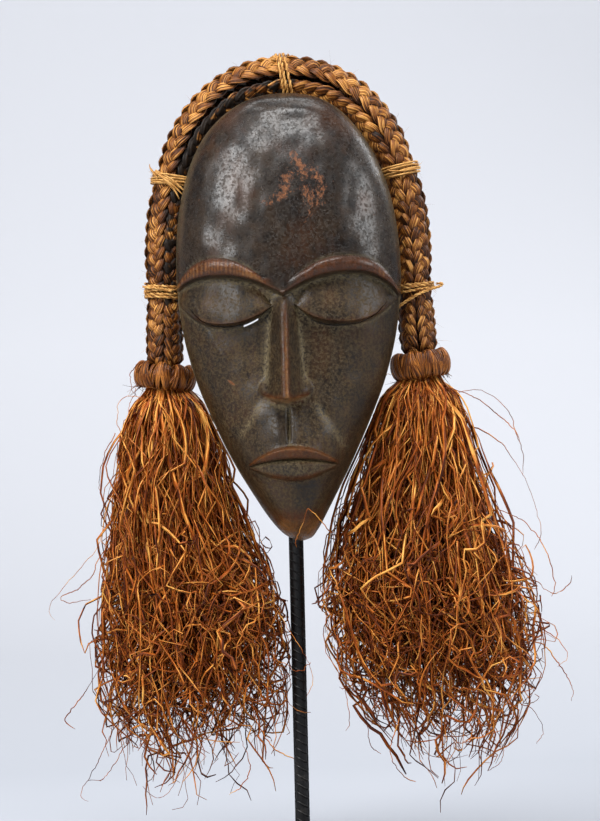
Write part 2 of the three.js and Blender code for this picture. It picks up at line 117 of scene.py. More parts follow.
def linear(colour, alpha=1.0):
    """A colour as the eye reads it, 0 to 255, as the light values that a shader takes."""
    shares = [c / 255 for c in colour]
    return tuple(s / 12.92 if s < 0.04045 else ((s + 0.055) / 1.055) ** 2.4 for s in shares) + (alpha,)


def feed(node, inputs):
    """Gives each named input of a node a plain value, or joins it to the output of another node."""
    for name, value in inputs.items():
        if isinstance(value, bpy.types.NodeSocket):
            node.id_data.links.new(value, node.inputs[name])
        else:
            node.inputs[name].default_value = value


def wire(tree, kind, inputs, **settings):
    """A new shader node with its settings and its inputs."""
    made = tree.nodes.new("ShaderNode" + kind)
    for name, value in settings.items():
        setattr(made, name, value)
    feed(made, inputs)
    return made


def sum_of(tree, operation, first, second=0.0, third=0.0):
    inputs = {0: first, 1: second, 2: third}
    return wire(tree, "Math", inputs, operation=operation, use_clamp=True).outputs[0]


def mixed(tree, share, under, over, mode="MIX"):
    inputs = {0: share, 6: under, 7: over}
    return wire(tree, "Mix", inputs, data_type="RGBA", blend_type=mode).outputs[2]


def between(tree, value, low, high, to_low=0.0, to_high=1.0):
    """The value, read as a share of the way from low to high."""
    inputs = {"Value": value, "From Min": low, "From Max": high, "To Min": to_low, "To Max": to_high}
    return wire(tree, "MapRange", inputs).outputs[0]


def speckle(tree, where, scale, detail=3.0, roughness=0.5, stretch=None):
    """Noise of a given number of lumps to the metre, stretched along an axis if asked."""
    if stretch:
        where = wire(tree, "Mapping", {"Vector": where, "Scale": stretch}).outputs[0]
    inputs = {"Vector": where, "Scale": scale, "Detail": detail, "Roughness": roughness}
    return wire(tree, "TexNoise", inputs).outputs[0]


def new_finish(name):
    """A new material, with its node tree, its Principled shader and the object's coordinates."""
    material = bpy.data.materials.new(name)
    material.use_nodes = True
    tree = material.node_tree
    where = wire(tree, "TexCoord", {}).outputs["Object"]
    return material, tree, tree.nodes["Principled BSDF"], where


def bumped(tree, height, distance, strength=1.0):
    inputs = {"Height": height, "Distance": distance, "Strength": strength}
    return wire(tree, "Bump", inputs).outputs[0]


def group_of(name, inputs, outputs):
    """A node group with named inputs, each of a kind, and number outputs. Gives both its ends too."""
    tree = bpy.data.node_groups.new(name, "ShaderNodeTree")
    for label, kind in inputs.items():
        tree.interface.new_socket(label, in_out="INPUT", socket_type="NodeSocket" + kind)
    for label in outputs:
        tree.interface.new_socket(label, in_out="OUTPUT", socket_type="NodeSocketFloat")
    return tree, tree.nodes.new("NodeGroupInput").outputs, tree.nodes.new("NodeGroupOutput")


# Blackened steel: a dull mill skin with rubbed spots and fine pits
mill_skin, asked, given = group_of("mill skin", {"Where": "Vector", "Rubbed": "Float"}, ("Bare", "Height"))
patches = speckle(mill_skin, asked["Where"], 60, 5, 0.55)
specks = speckle(mill_skin, asked["Where"], 900, 4, 0.7)
limit = sum_of(mill_skin, "SUBTRACT", 0.8, asked["Rubbed"])
bare = between(mill_skin, sum_of(mill_skin, "MULTIPLY_ADD", specks, 0.35, patches), limit, 1.0)
feed(given, {"Bare": bare, "Height": specks})


def black_steel(name, rubbed, gloss):
    material, tree, shader, where = new_finish(name)
    skin = wire(tree, "Group", {"Where": where, "Rubbed": rubbed}, node_tree=mill_skin).outputs
    colour = mixed(tree, skin["Bare"], linear(BLACKING), linear(BARE_STEEL))
    rough = between(tree, skin["Height"], 0.3, 0.7, gloss, gloss + 0.18)
    metal = between(tree, skin["Bare"], 0, 1, 0.2, 0.9)
    feed(shader, {"Base Color": colour, "Roughness": rough, "Metallic": metal, "Specular IOR Level": 0.36,
                  "Normal": bumped(tree, skin["Height"], PIT_DEPTH)})
    return material


foot = added(
    "foot_plate", bpy.ops.mesh.primitive_cube_add, size=1,
    location=(0, 0, FOOT_THICKNESS * MM / 2),
    scale=(FOOT_SIDE * MM, FOOT_SIDE * MM, FOOT_THICKNESS * MM),
)
bevel(foot, FOOT_EDGE, 3)
drill = added(
    "socket_drill", bpy.ops.mesh.primitive_cylinder_add, vertices=32,
    radius=SOCKET_RADIUS * MM,
    depth=2 * SOCKET_DEPTH * MM,
    location=(0, 0, FOOT_THICKNESS * MM),
)
cut_with(foot, drill)
smooth(foot, 35)
fix(foot, black_steel("blackened plate", 0.03, 0.42), "stand_foot")


# The bar: a length of 8 mm ribbed reinforcing bar, blackened. It stands in the foot and is bent
# forward at the top, where its end holds the mask from inside the hollow.
BAR_CORE = 3.7
BAR_LOW = 4.3
BAR_TOP = 429.3
BAR_BEND = 14
BAR_TURNS_AT = BAR_TOP - BAR_BEND
BAR_REACH = 12
BAR_RIB = 0.58
RIB_PITCH = 5.2
RIB_LEAN = math.radians(31)
RIBS_FROM = 12
SEAM_WIDE = 1.1
SEAM_EDGE = 0.4

bar = added(
    "ribbed_bar", bpy.ops.mesh.primitive_cylinder_add, vertices=28,
    radius=BAR_CORE * MM,
    depth=(BAR_TURNS_AT - BAR_LOW) * MM,
    location=(0, 0, (BAR_TURNS_AT + BAR_LOW) / 2 * MM),
)


def edit(piece, kind, action="DESELECT"):
    """Enters edit mode on one piece, with all of its points, edges or faces selected or none."""
    only(piece)
    bpy.ops.object.mode_set(mode="EDIT")
    bpy.ops.mesh.select_mode(type=kind)
    bpy.ops.mesh.select_all(action=action)


def select(piece, kind, parts, wanted):
    """Enters edit mode with the wanted edges or faces selected."""
    edit(piece, kind)
    bpy.ops.object.mode_set(mode="OBJECT")
    for part in parts:
        part.select = wanted(part)
    bpy.ops.object.mode_set(mode="EDIT")


select(bar, "FACE", bar.data.polygons, lambda face: face.normal.z > 0.9)
bpy.ops.mesh.spin(
    steps=8,
    angle=math.radians(90),
    center=(0, -BAR_BEND * MM, BAR_TURNS_AT * MM),
    axis=(1, 0, 0),
)
bpy.ops.mesh.extrude_region_move(TRANSFORM_OT_translate={"value": (0, -BAR_REACH * MM, 0)})


def join(piece, part):
    only(part)
    piece.select_set(True)
    bpy.context.view_layer.objects.active = piece
    bpy.ops.object.join()


nothing_selected()
bpy.ops.mesh.primitive_torus_add(
    major_radius=BAR_CORE * MM,
    minor_radius=BAR_RIB * MM,
    major_segments=22,
    minor_segments=6,
)
bpy.ops.transform.resize(value=(1 / math.cos(RIB_LEAN), 1, 1))
rib = named("rib")
rib.rotation_euler = (0, RIB_LEAN, 0)
rib.location = (0, 0, RIBS_FROM * MM)
bpy.ops.object.transform_apply(location=True, rotation=True, scale=True)
repeat = rib.modifiers.new("ribs", "ARRAY")
repeat.use_relative_offset = False
repeat.use_constant_offset = True
repeat.constant_offset_displace = (0, 0, RIB_PITCH * MM)
repeat.count = int((BAR_TURNS_AT - RIBS_FROM) / RIB_PITCH)
apply_modifiers(rib)
for side in (-1, 1):
    seam = added(
        "seam", bpy.ops.mesh.primitive_cube_add, size=1,
        location=(side * BAR_CORE * MM, 0, (BAR_TURNS_AT + BAR_LOW) / 2 * MM),
        scale=(2 * BAR_RIB * MM, SEAM_WIDE * MM, (BAR_TURNS_AT - BAR_LOW - 2) * MM),
    )
    bevel(seam, SEAM_EDGE, 2)
    join(bar, seam)
join(bar, rib)
smooth(bar, 40)
fix(bar, black_steel("blackened bar", 0.06, 0.38), "stand_bar")


# The mask: one block of hard wood carved to a thin shell, a domed forehead over hooded eyes, a
# narrow nose and closed lips. It is hollowed from behind with a small adze, slit under the lids
# and stained dark. Handling has rubbed its ridges brown and left dust in its hollows.
CHIN = 197.3
BACK = -4.6
TALL = 260
HALF_WIDE = 65.1
WIDEST_AT = 155
CROWN_POWER = 2.25
RIM = 9
FOREHEAD = 40
NOSE_LINE = -4.2
RIDGE_LINE = NOSE_LINE + 0.4
RIDGE_HALF = 1.7
NOSE_FOOT = 79.6
BACK_INSET = (0.058, 0.03)
HOLLOW_SCALE = (0.8, 0.91, 0.925)
WALL = 8.5
SLIT = 1.5
SLIT_LEAN = 0.36
SLIT_DEPTH = 42
SLIT_ENDS = 6
SLIT_UNDER = 0.4
GAPE = (-27, -18.5)


def ramp(low, high, x):
    t = np.clip((x - low) / (high - low), 0, 1)
    return t * t * (3 - 2 * t)


def bump(x, spread):
    return np.exp(-((x / spread) ** 2))


def above0(x, power):
    return np.clip(x, 0, None) ** power


def smooth_line(*stations):
    """A smooth line through a few (place, value) stations, which never overshoots them."""
    at, value = np.array(stations, float).T
    length = np.diff(at)
    steps = np.diff(value) / length
    slopes = np.concatenate([steps[:1], np.zeros(len(steps) - 1), steps[-1:]])
    same_way = steps[:-1] * steps[1:] > 0
    total = np.where(same_way, steps[:-1] + steps[1:], 1)
    slopes[1:-1] = np.where(same_way, 2 * steps[:-1] * steps[1:] / total, 0)

    def line(x):
        i = np.clip(np.searchsorted(at, x, side="right") - 1, 0, len(length) - 1)
        t = np.clip((x - at[i]) / length[i], 0, 1)
        level = value[i] * (1 + 2 * t) * (1 - t) ** 2 + value[i + 1] * t * t * (3 - 2 * t)
        return level + length[i] * (slopes[i] * t * (1 - t) ** 2 + slopes[i + 1] * t * t * (t - 1))

    return line


def arch(start, peak, end, start_power, end_power):
    """A line from one end over its peak, or under its lowest point, to the other end."""
    def line(across):
        first = across < peak[0]
        foot_at, foot_level = (np.where(first, start[i], end[i]) for i in (0, 1))
        share = np.clip(np.abs((across - peak[0]) / (foot_at - peak[0])), 0, 1)
        return peak[1] + (foot_level - peak[1]) * share ** np.where(first, start_power, end_power)

    return line


jaw = smooth_line((0, 0), (2, 6.2), (6, 10.6), (12, 15), (24, 22.2), (45, 33.8), (70, 45.5),
                  (95, 55.3), (120, 61.7), (140, 64.4), (WIDEST_AT, HALF_WIDE))
middle = smooth_line((0, 3.8), (6, 2), (20, 0.6), (60, -0.6), (150, -0.6), (200, -1.3),
                     (235, -2.2), (TALL, -0.8))
cheek_rise = smooth_line((0, 0), (3, 13), (8, 22), (16, 28), (30, 32), (50, 34), (75, 32),
                         (100, 31), (125, 32), (155, 34), (200, 34))
brow_under = (arch((-64.4, 147.6), (-41.8, 153.4), (NOSE_LINE, 142.5), 2.4, 2),
              arch((NOSE_LINE, 142.5), (34.4, 154.4), (62.6, 142.2), 1.95, 2.45))
brow_over = (arch((-64.4, 150.6), (-42.2, 163.7), (-15, 151.3), 2.5, 1.9),
             arch((NOSE_LINE + 1, 146.4), (31, 163.5), (62.4, 144.8), 2, 2.9))
EYES = [
    ((-64.2, -10.2), arch((-64.2, 140.6), (-40, 151.4), (-10.2, 135.7), 4.5, 3),
     arch((-64.2, 138.6), (-38, 124.1), (-10.2, 135.6), 2.5, 2.2)),
    ((2.6, 61.6), arch((2.6, 136.5), (32, 152.2), (61.6, 139.4), 4, 2.4),
     arch((2.6, 136.4), (31, 124.1), (61.6, 139.2), 2.8, 2.2)),
]
nose_rise = smooth_line((78, 20), (84, 22.5), (90, 22), (105, 18.5), (120, 14.5), (132, 10.5),
                        (140, 5), (144, 0))
nose_spread = smooth_line((78, 12), (90, 11.5), (105, 10.4), (120, 9.2), (135, 7.8), (150, 5.8))
MOUTH = 25.5
lip_top = arch((-MOUTH, 45.2), (0.3, 55.2), (MOUTH, 45.4), 2.1, 2.1)
lip_parting = arch((-MOUTH, 44), (0, 47.8), (MOUTH, 44.6), 2, 2)
lip_bottom = arch((-MOUTH, 43.2), (0, 36.1), (MOUTH, 44), 1.8, 1.8)


def crown_share(up):
    return np.clip((up - WIDEST_AT) / (TALL - WIDEST_AT), 0, 1)


def outline(up):
    crown = HALF_WIDE * above0(1 - crown_share(up) ** CROWN_POWER, 1 / CROWN_POWER)
    return np.where(up < WIDEST_AT, jaw(np.clip(up, 0, None)), crown)


def out_share(across, up):
    return np.abs(across - middle(up)) / np.maximum(outline(up), 0.001)


def brow(across, edge=brow_under):
    """The lower edge of the brows, or the upper one."""
    return np.where(across < NOSE_LINE, edge[0](across), edge[1](across))


def brow_share(across, up):
    """From 0 at the lower edge of a brow to 1 at its upper edge."""
    low = brow(across)
    return (up - low) / np.maximum(brow(across, brow_over) - low, 1.5)


def block(across, up):
    """The wood before its features: a domed forehead over convex cheeks."""
    out = np.abs(across - middle(up)) / HALF_WIDE
    dome = RIM + FOREHEAD * above0(1 - out ** CROWN_POWER - crown_share(up) ** CROWN_POWER, 0.52)
    cheeks = RIM + cheek_rise(up) * above0(1 - np.clip(out_share(across, up), 0, 1) ** 2.3, 0.62)
    over = ramp(-2.6, 0.4, up - brow(across))
    return cheeks * (1 - over) + dome * over


def brow_roll(across, up):
    proud = 3.2 * ramp(np.where(across < NOSE_LINE, 7, 1), 20, np.abs(across - NOSE_LINE))
    rounded_off = above0(1 - np.abs(2 * brow_share(across, up) - 1) ** 2.2, 0.6)
    return proud * ramp(1.01, 0.93, out_share(across, up)) * rounded_off


def lid(eye, across, up):
    (start, end), upper, lower = eye
    low = lower(across)
    share = (up - low) / np.maximum(upper(across) - low, 0.2)
    taper = np.sqrt(np.clip(4 * (across - start) * (end - across) / (end - start) ** 2, 0, 1))
    swell = 7.5 * ramp(-0.035, 0.075, share) * above0(1 - share, 1.25) * (1 + 1.05 * share)
    under = up - low + 0.5
    return taper * (swell - 0.9 * bump(under, np.where(under > 0, 0.9, 7)))


def nose(across, up):
    side = np.abs(across - RIDGE_LINE)
    underside = NOSE_FOOT + 0.022 * side * side
    slope = np.clip((side - RIDGE_HALF) / (nose_spread(up) - RIDGE_HALF), 0, 1)
    rise = nose_rise(up)
    rounding = 0.5 * np.clip(rise / 6, 0, 1) * np.clip(side / RIDGE_HALF, 0, 1) ** 2
    ridge = rise * above0(1 - slope, 0.85) - rounding
    wing = 6 * above0(1 - ((side - 8.6) / 7.8) ** 2 - ((up - 85.5) / 9.5) ** 2, 0.8)
    joined = (ridge + wing + np.sqrt((ridge - wing) ** 2 + 12) - 3.46) / 2
    return joined * ramp(underside, underside + 3, up)


def lips(across, up):
    part = lip_parting(across)
    over = (up - part) / np.maximum(lip_top(across) - part, 0.3)
    under = (part - up) / np.maximum(part - lip_bottom(across), 0.3)
    upper = 4.2 * ramp(1.15, 0.8, over) * ramp(-0.05, 0.15, over)
    upper = upper * (0.55 + 0.45 * np.clip(over, 0, 1))
    lower = 4.6 * ramp(1.15, 0.75, under) * ramp(-0.05, 0.2, under)
    lower = lower * (0.6 + 0.4 * np.clip(under, 0, 1) ** 0.7)
    border = 0.8 * bump(up - lip_top(across) - 1.5, 1.3) * bump(np.abs(across) - 12, 7)
    parting = 1.2 * bump(up - part, 0.9)
    return above0(1 - (across / MOUTH) ** 2, 0.45) * (upper + lower + border - parting)


def muzzle(across, up):
    """The swell around the mouth, the dip under the lower lip and the groove under the nose."""
    swell = 5.5 * bump(np.hypot(across + 0.5, up - 54), 27) * ramp(0, 10, up)
    dip = 1.6 * bump(np.hypot((across + 0.5) / 20, (up - 33) / 5.5), 1)
    side = np.abs(across + 2.4)
    groove = 0.7 * bump(side - 6.4, 3.4) - 0.5 * bump(side, 3) - 2.2 * bump(side, 1.0)
    return swell - dip + ramp(54, 62, up) * ramp(82, 72, up) * groove


def fold_places(across, up):
    """For the fold on each side of the nose: how much of it is there, and how far out a place is."""
    places = []
    for foot_at, top_at in (((-27.5, 59.7), (-13.9, 80.9)), ((26.3, 52.8), (9.9, 78.7))):
        run = np.subtract(top_at, foot_at)
        length = np.hypot(*run)
        along = ((across - foot_at[0]) * run[0] + (up - foot_at[1]) * run[1]) / length
        aside = ((across - foot_at[0]) * run[1] - (up - foot_at[1]) * run[0]) / length
        reach = ramp(-4, 5, along) * ramp(length + 3, length - 6, along)
        places.append((reach, aside * np.sign(-foot_at[0])))
    return places


def hand_carved(across, up):
    """Slow waves left by the knife, two knocks and a swell at the crown, and folds by the nose."""
    waves = np.zeros_like(across)
    draw = np.random.default_rng(12)
    for size in (34, 26, 19, 14, 11, 9):
        turn = draw.uniform(0, math.pi)
        phase = draw.uniform(0, 2 * math.pi)
        run = across * math.cos(turn) + up * math.sin(turn)
        waves += 0.0065 * size * np.sin(2 * math.pi * run / size + phase + 0.8 * np.sin(run / 17))
    knocks = 0
    for at, height, wide, tall, deep in ((-14.8, 250.8, 4.6, 2.0, 1.2), (10, 253.4, 12, 3.4, 1.1)):
        knocks = knocks + deep * bump(np.hypot((across - at) / wide, (up - height) / tall), 1)
    folds = 0
    for reach, aside in fold_places(across, up):
        folds = folds + reach * (0.45 * bump(aside, 4.2) - 0.6 * bump(aside + 4.6, 3.4))
    full = 2.3 * ramp(240, 252, up) * ramp(259.5, 255, up) * bump(across / 30, 1)
    return (waves - knocks) * ramp(1.0, 0.85, out_share(across, up)) + folds + full


def front(across, up):
    depth = block(across, up) + brow_roll(across, up) + nose(across, up)
    depth = depth + sum(lid(eye, across, up) for eye in EYES)
    return depth + lips(across, up) + muzzle(across, up)


def carved_edges(across):
    """The heights that the rows of the carved surface follow: lips, lids and brows."""
    left = across < NOSE_LINE
    low = np.where(left, EYES[0][2](across), EYES[1][2](across))
    upper = np.where(left, EYES[0][1](across), EYES[1][1](across))
    under, over = brow(across), brow(across, brow_over)
    flat = np.ones_like(across)
    edges = [0.4 * flat, 8 * flat, lip_bottom(across) - 1, lip_parting(across), lip_top(across) + 1,
             78 * flat, 85 * flat, low - 2.4, low + 0.8, upper, under - 2.6, under + 0.8, over + 0.6,
             215 * flat, 247 * flat, 259.85 * flat]
    for i in range(1, len(edges)):
        edges[i] = np.maximum(edges[i], edges[i - 1] + 0.4)
    return np.array(edges)


def across_at(share, up):
    """Columns are counted from the line of the nose, so that its ridge stays a clean edge."""
    centre = middle(up)
    reach = outline(up)
    start = centre + (RIDGE_LINE - centre) * ramp(8, 40, up) * ramp(TALL - 8, TALL - 60, up)
    side = np.where(share < 0, start - centre + reach, centre + reach - start)
    return start + share * side


def points_of(piece):
    flat = np.empty(len(piece.data.vertices) * 3)
    piece.data.vertices.foreach_get("co", flat)
    return flat.reshape(-1, 3)


def grid_mesh(name, wide, tall):
    """A grid with its corners' places from -1 to 1, across and up."""
    grid = {"x_subdivisions": wide, "y_subdivisions": tall, "size": 2}
    piece = added(name, bpy.ops.mesh.primitive_grid_add, **grid)
    return piece, points_of(piece)


def move_points(piece, points):
    piece.data.vertices.foreach_set("co", np.asarray(points, np.float32).ravel())
    piece.data.update()


def in_place(across, up, depth):
    """Places in the frame, in metres, for places across, up and forward on the mask."""
    return np.stack([across, BACK - depth, CHIN + up], axis=1) * MM


def closer_out(t):
    """Sets rows and columns closer together towards the outline."""
    return 0.5 * t + 0.5 * np.sin(t * math.pi / 2)


def close_behind(piece, levels):
    """Extrudes the edge of a carved skin back in a few steps, and closes it with a flat back."""
    edit(piece, "VERT")
    bpy.ops.mesh.select_non_manifold()
    centre = (middle(WIDEST_AT) * MM, 0, (CHIN + WIDEST_AT) * MM)
    for depth, across_scale, up_scale in levels:
        bpy.ops.mesh.extrude_region_move()
        bpy.ops.transform.resize(value=(across_scale, 1, up_scale), center_override=centre)
        flat_at = (0, (BACK - depth) * MM, 0)
        bpy.ops.transform.resize(value=(1, 0, 1), center_override=flat_at)
    bpy.ops.mesh.edge_face_add()
    bpy.ops.object.mode_set(mode="OBJECT")


# The rows of the carved surface between one of its edges and the next, and the columns a side
ROWS = (10, 16, 12, 12, 16, 10, 30, 9, 22, 7, 13, 17, 32, 24, 16)
COLUMNS = 116
SETTLINGS = 14
HOLLOW_GRID = (96, 130)

mask, spots = grid_mesh("carved_mask", 2 * COLUMNS, sum(ROWS))
share = closer_out(np.abs(spots[:, 0])) * np.sign(spots[:, 0])
row = np.rint((spots[:, 1] + 1) / 2 * sum(ROWS)).astype(int)
starts = np.concatenate([[0], np.cumsum(ROWS)])
span = np.clip(np.searchsorted(starts, row, side="right") - 1, 0, len(ROWS) - 1)
part_way = (row - starts[span]) / np.array(ROWS)[span]
part_way = np.where(span == len(ROWS) - 1, closer_out(part_way), part_way)
across = np.zeros(len(spots))


def height_of_row(across):
    edges = carved_edges(across)
    pick = np.arange(len(across))
    low, high = edges[span, pick], edges[span + 1, pick]
    return low + (high - low) * part_way


for _ in range(SETTLINGS):
    across = (across + across_at(share, height_of_row(across))) / 2
up = height_of_row(across)
across = across_at(share, up)
move_points(mask, in_place(across, up, front(across, up) + hand_carved(across, up)))
steps_back = ((RIM - 1.6, 0), (RIM - 4.5, 0.45), (1.2, 0.42), (0, 0.13))
close_behind(mask, [(depth, *(1 - inset * part for inset in BACK_INSET)) for depth, part in steps_back])

hollow, spots = grid_mesh("adzed_hollow", *HOLLOW_GRID)
share = np.sin(spots[:, 0] * math.pi / 2)
up = 1.5 + (TALL - 2.5) * (0.5 + 0.5 * np.sin(spots[:, 1] * math.pi / 2))
out = share * outline(up)
shrink = np.where(up > WIDEST_AT, HOLLOW_SCALE[1], HOLLOW_SCALE[2])
strokes = 0.7 * np.abs(np.sin(up / 11 + 0.9 * np.sin(out / 8)))
strokes = strokes + 0.5 * np.abs(np.sin(out / 5.5 + np.sin(up / 23)))
deep = block(middle(up) + out, up) - WALL + (0.6 - strokes) * above0(1 - share ** 2, 0.5)
hollow_across = middle(up) + out * HOLLOW_SCALE[0]
hollow_up = WIDEST_AT + (up - WIDEST_AT) * shrink
move_points(hollow, in_place(hollow_across, hollow_up, np.clip(deep, 0, None)))
close_behind(hollow, [(-2, 1.0, 1.0)])


def mesh_piece(name, points, faces):
    data = bpy.data.meshes.new(name)
    data.from_pydata(points.tolist(), [], faces)
    piece = bpy.data.objects.new(name, data)
    bpy.context.scene.collection.objects.link(piece)
    return piece


def slit_blade(start, end, upper, lower, lean, steps=28):
    """A thin curved blade between two lines, run through the wood from front to back."""
    at = np.linspace(start, end, steps)
    corners = []
    for back, edge in ((0, lower), (0, upper), (60, upper), (60, lower)):
        rise = lean * (SLIT_DEPTH - back)
        corners.append(in_place(at, edge(at) + rise, np.full(steps, back - 2.0)))
    points = np.concatenate(corners)
    faces = [(0, steps, 2 * steps, 3 * steps), tuple(k * steps + steps - 1 for k in (3, 2, 1, 0))]
    for k in range(4):
        this, following = k * steps, (k + 1) % 4 * steps
        for i in range(steps - 1):
            faces.append((this + i, this + i + 1, following + i + 1, following + i))
    blade = mesh_piece("slit_blade", points, faces)
    edit(blade, "FACE", "SELECT")
    bpy.ops.mesh.normals_make_consistent(inside=False)
    bpy.ops.object.mode_set(mode="OBJECT")
    return blade


def eye_slit(eye):
    (start, end), _, lower = eye
    start, end = start + SLIT_ENDS, end - SLIT_ENDS

    def under(at):
        swell = above0(np.sin(math.pi * (at - start) / (end - start)), 0.6)
        return lower(at) - SLIT_UNDER - SLIT * (0.15 + 0.85 * swell)

    return slit_blade(start, end, lambda at: lower(at) - SLIT_UNDER, under, SLIT_LEAN)


lower_left = EYES[0][2]
gape = slit_blade(*GAPE, lambda at: lower_left(at) - 0.3, lambda at: lower_left(at) - 1.6, 0)
for cutter in [hollow, *[eye_slit(eye) for eye in EYES], gape]:
    cut_with(mask, cutter, "MANIFOLD")

# Five small holes through the rim take the ties of the band, so the band's line is laid out here:
# up from the left collar, over the crown and down to the right collar. A tie has its height on the
# mask and tells whether it is on the rising side.
COLLAR_AT = ((-74.3, 295.4), (75.2, 298.8))
BAND_DEPTH = 5.5
ARCH_HALF = 72.7
ARCH_RISE = 114
LEGS_FROM = 124
CROWN_FULL = 0.34
CROWN_REACH = 112
HOLE = 1.25
HOLE_DEPTH = 4.2
TOP_TIE_ASIDE = 3
TIES = {"tie_left_lower": (147, True), "tie_left_upper": (211, True), "tie_top": (None, True),
        "tie_right_upper": (214, False), "tie_right_lower": (145, False)}


def band_line():
    """The band's line at every millimetre: its places across and up, and its direction there."""
    turn = np.linspace(math.pi, 0, 400)
    across = np.sign(np.cos(turn)) * np.abs(np.cos(turn)) ** (2 / CROWN_POWER) * ARCH_HALF
    rise = above0(np.sin(turn), 2 / CROWN_POWER) * ARCH_RISE
    over = np.stack([across + middle(WIDEST_AT), CHIN + WIDEST_AT + rise], 1)
    left_leg = [COLLAR_AT[0], (-ARCH_HALF - 1.2, CHIN + LEGS_FROM)]
    right_leg = [(ARCH_HALF + 0.9, CHIN + LEGS_FROM), COLLAR_AT[1]]
    path = np.concatenate([left_leg, over, right_leg])
    along = np.concatenate([[0], np.cumsum(np.hypot(*np.diff(path, axis=0).T))])
    even = np.arange(0, along[-1], 1.0)
    points = np.stack([np.interp(even, along, path[:, i]) for i in (0, 1)], 1)
    soft = np.convolve(np.ones(len(even)), np.hanning(17), "same")
    points = np.stack([np.convolve(points[:, i], np.hanning(17), "same") / soft for i in (0, 1)], 1)
    ahead = np.gradient(points, axis=0)
    return points, ahead / np.hypot(*ahead.T)[:, None]


BAND, BAND_AHEAD = band_line()
BAND_LONG = len(BAND) - 1


def fuller(along):
    """How much fuller the band is than at its ends: most of all over the crown."""
    return bump(along - BAND_LONG / 2, CROWN_REACH)


def on_band(along, outwards, forwards):
    """A place by its length along the band, and its distance out from the face and forward."""
    outwards = outwards * np.where(outwards > 0, 1 + CROWN_FULL * fuller(along), 1)
    count = np.arange(len(BAND))
    x, z = (np.interp(along, count, BAND[:, i]) for i in (0, 1))
    ahead_x, ahead_z = (np.interp(along, count, BAND_AHEAD[:, i]) for i in (0, 1))
    x = x - ahead_z * outwards
    return np.stack([x, BACK + BAND_DEPTH - forwards + 0 * x, z + ahead_x * outwards], -1)


def tie_along(name):
    height, rising = TIES[name]
    if height is None:
        return BAND_LONG / 2 + TOP_TIE_ASIDE
    half = BAND_LONG // 2
    side = BAND[:half, 1] if rising else BAND[half:, 1][::-1]
    reached = np.searchsorted(side, CHIN + height)
    return reached if rising else BAND_LONG - reached


for name in TIES:
    inner, outer = (on_band(tie_along(name), out, BAND_DEPTH + HOLE_DEPTH) for out in (-26, -6))
    run = outer - inner
    awl = added(
        "awl", bpy.ops.mesh.primitive_cylinder_add, vertices=16,
        radius=HOLE * MM,
        depth=np.linalg.norm(run) * MM,
        location=tuple((inner + outer) / 2 * MM),
        rotation=(0, math.atan2(run[0], run[2]), 0),
    )
    cut_with(mask, awl, "MANIFOLD")


def keep_value(piece, name, values):
    """Stores one number a point, for a material to read."""
    layer = piece.data.attributes.new(name, "FLOAT", "POINT")
    layer.data.foreach_set("value", np.asarray(values, np.float32))


def read_value(tree, name):
    return wire(tree, "Attribute", {}, attribute_name=name).outputs["Fac"]


def softened(levels, spread):
    reach = np.arange(-3 * spread, 3 * spread + 1)
    weights = bump(reach, spread * 1.41)
    weights /= weights.sum()
    padded = np.pad(levels, 3 * spread, mode="edge")
    along = np.apply_along_axis(lambda line: np.convolve(line, weights, "valid"), 0, padded)
    return np.apply_along_axis(lambda line: np.convolve(line, weights, "valid"), 1, along)


# How far each place of the front stands proud of the wood around it, read on a fine grid
MAP_STEP = 0.5
map_across = np.arange(-70, 70 + MAP_STEP, MAP_STEP)
map_up = np.arange(0, TALL + MAP_STEP, MAP_STEP)
flat_across, flat_up = (m.ravel() for m in np.meshgrid(map_across, map_up))
relief = front(flat_across, flat_up).reshape(len(map_up), len(map_across))
proud_fine = relief - softened(relief, 4)
proud_wide = relief - softened(relief, 10)


def read_map(levels, across, up):
    column = np.clip((across - map_across[0]) / MAP_STEP, 0, len(map_across) - 1.001)
    row = np.clip((up - map_up[0]) / MAP_STEP, 0, len(map_up) - 1.001)
    i, j = row.astype(int), column.astype(int)
    u, v = column - j, row - i
    low = levels[i, j] * (1 - u) + levels[i, j + 1] * u
    high = levels[i + 1, j] * (1 - u) + levels[i + 1, j + 1] * u
    return low * (1 - v) + high * v


spots = points_of(mask) / MM
across, up, depth = spots[:, 0], spots[:, 2] - CHIN, BACK - spots[:, 1]
on_face = ramp(0.9, 0.82, out_share(across, up))
under_front = front(across, up) + hand_carved(across, up) - depth
fine = read_map(proud_fine, across, up)
wide = read_map(proud_wide, across, up)
in_brow = above0(1 - np.abs(2 * brow_share(across, up) - 1) ** 4, 1)
in_brow = in_brow * ramp(4, 14, np.abs(across - NOSE_LINE))
hatching = 0.86 + 0.14 * np.sin(3.1 * across + 1.7 * np.sin(across / 2.3))
# Wear and painted highlight: the left brow gets more of the pale rub than the right, as if lit from the
# left.
brow_wear_and_highlight = in_brow * hatching * np.where(across < NOSE_LINE, 0.95, 0.7)
chin = 0.9 * ramp(22, 12, up) * ramp(17, 8, np.abs(across - 2))
ridge = bump(across - RIDGE_LINE - 0.9, 1.5) * ramp(76, 84, up) * ramp(146, 120, up)
beside = np.abs(across - RIDGE_LINE)
tip = bump(up - 81 - 0.022 * beside * beside, 1.9) * ramp(15, 11, beside)
upper_lip = ramp(0, 1.5, up - lip_parting(across)) * ramp(1.5, 0, up - lip_top(across))
lower_lip = ramp(0, -1, up - lip_parting(across)) * ramp(0, 2, up - lip_bottom(across))
lower_rim = bump(up - lip_bottom(across) - 1, 1.4) * ramp(17, 11, np.abs(across))
mouth = (0.62 * upper_lip + 0.7 * lower_rim) * (np.abs(across) < MOUTH)
proud = 0.3 * ramp(0.5, 1.6, fine) * on_face
keep_value(mask, "wear_and_highlight", np.clip(brow_wear_and_highlight + chin + 0.75 * ridge + 0.95 * tip + mouth + proud, 0, 1))
under_lids = bump(up - 124, 9) * (np.abs(across - NOSE_LINE) > 12)
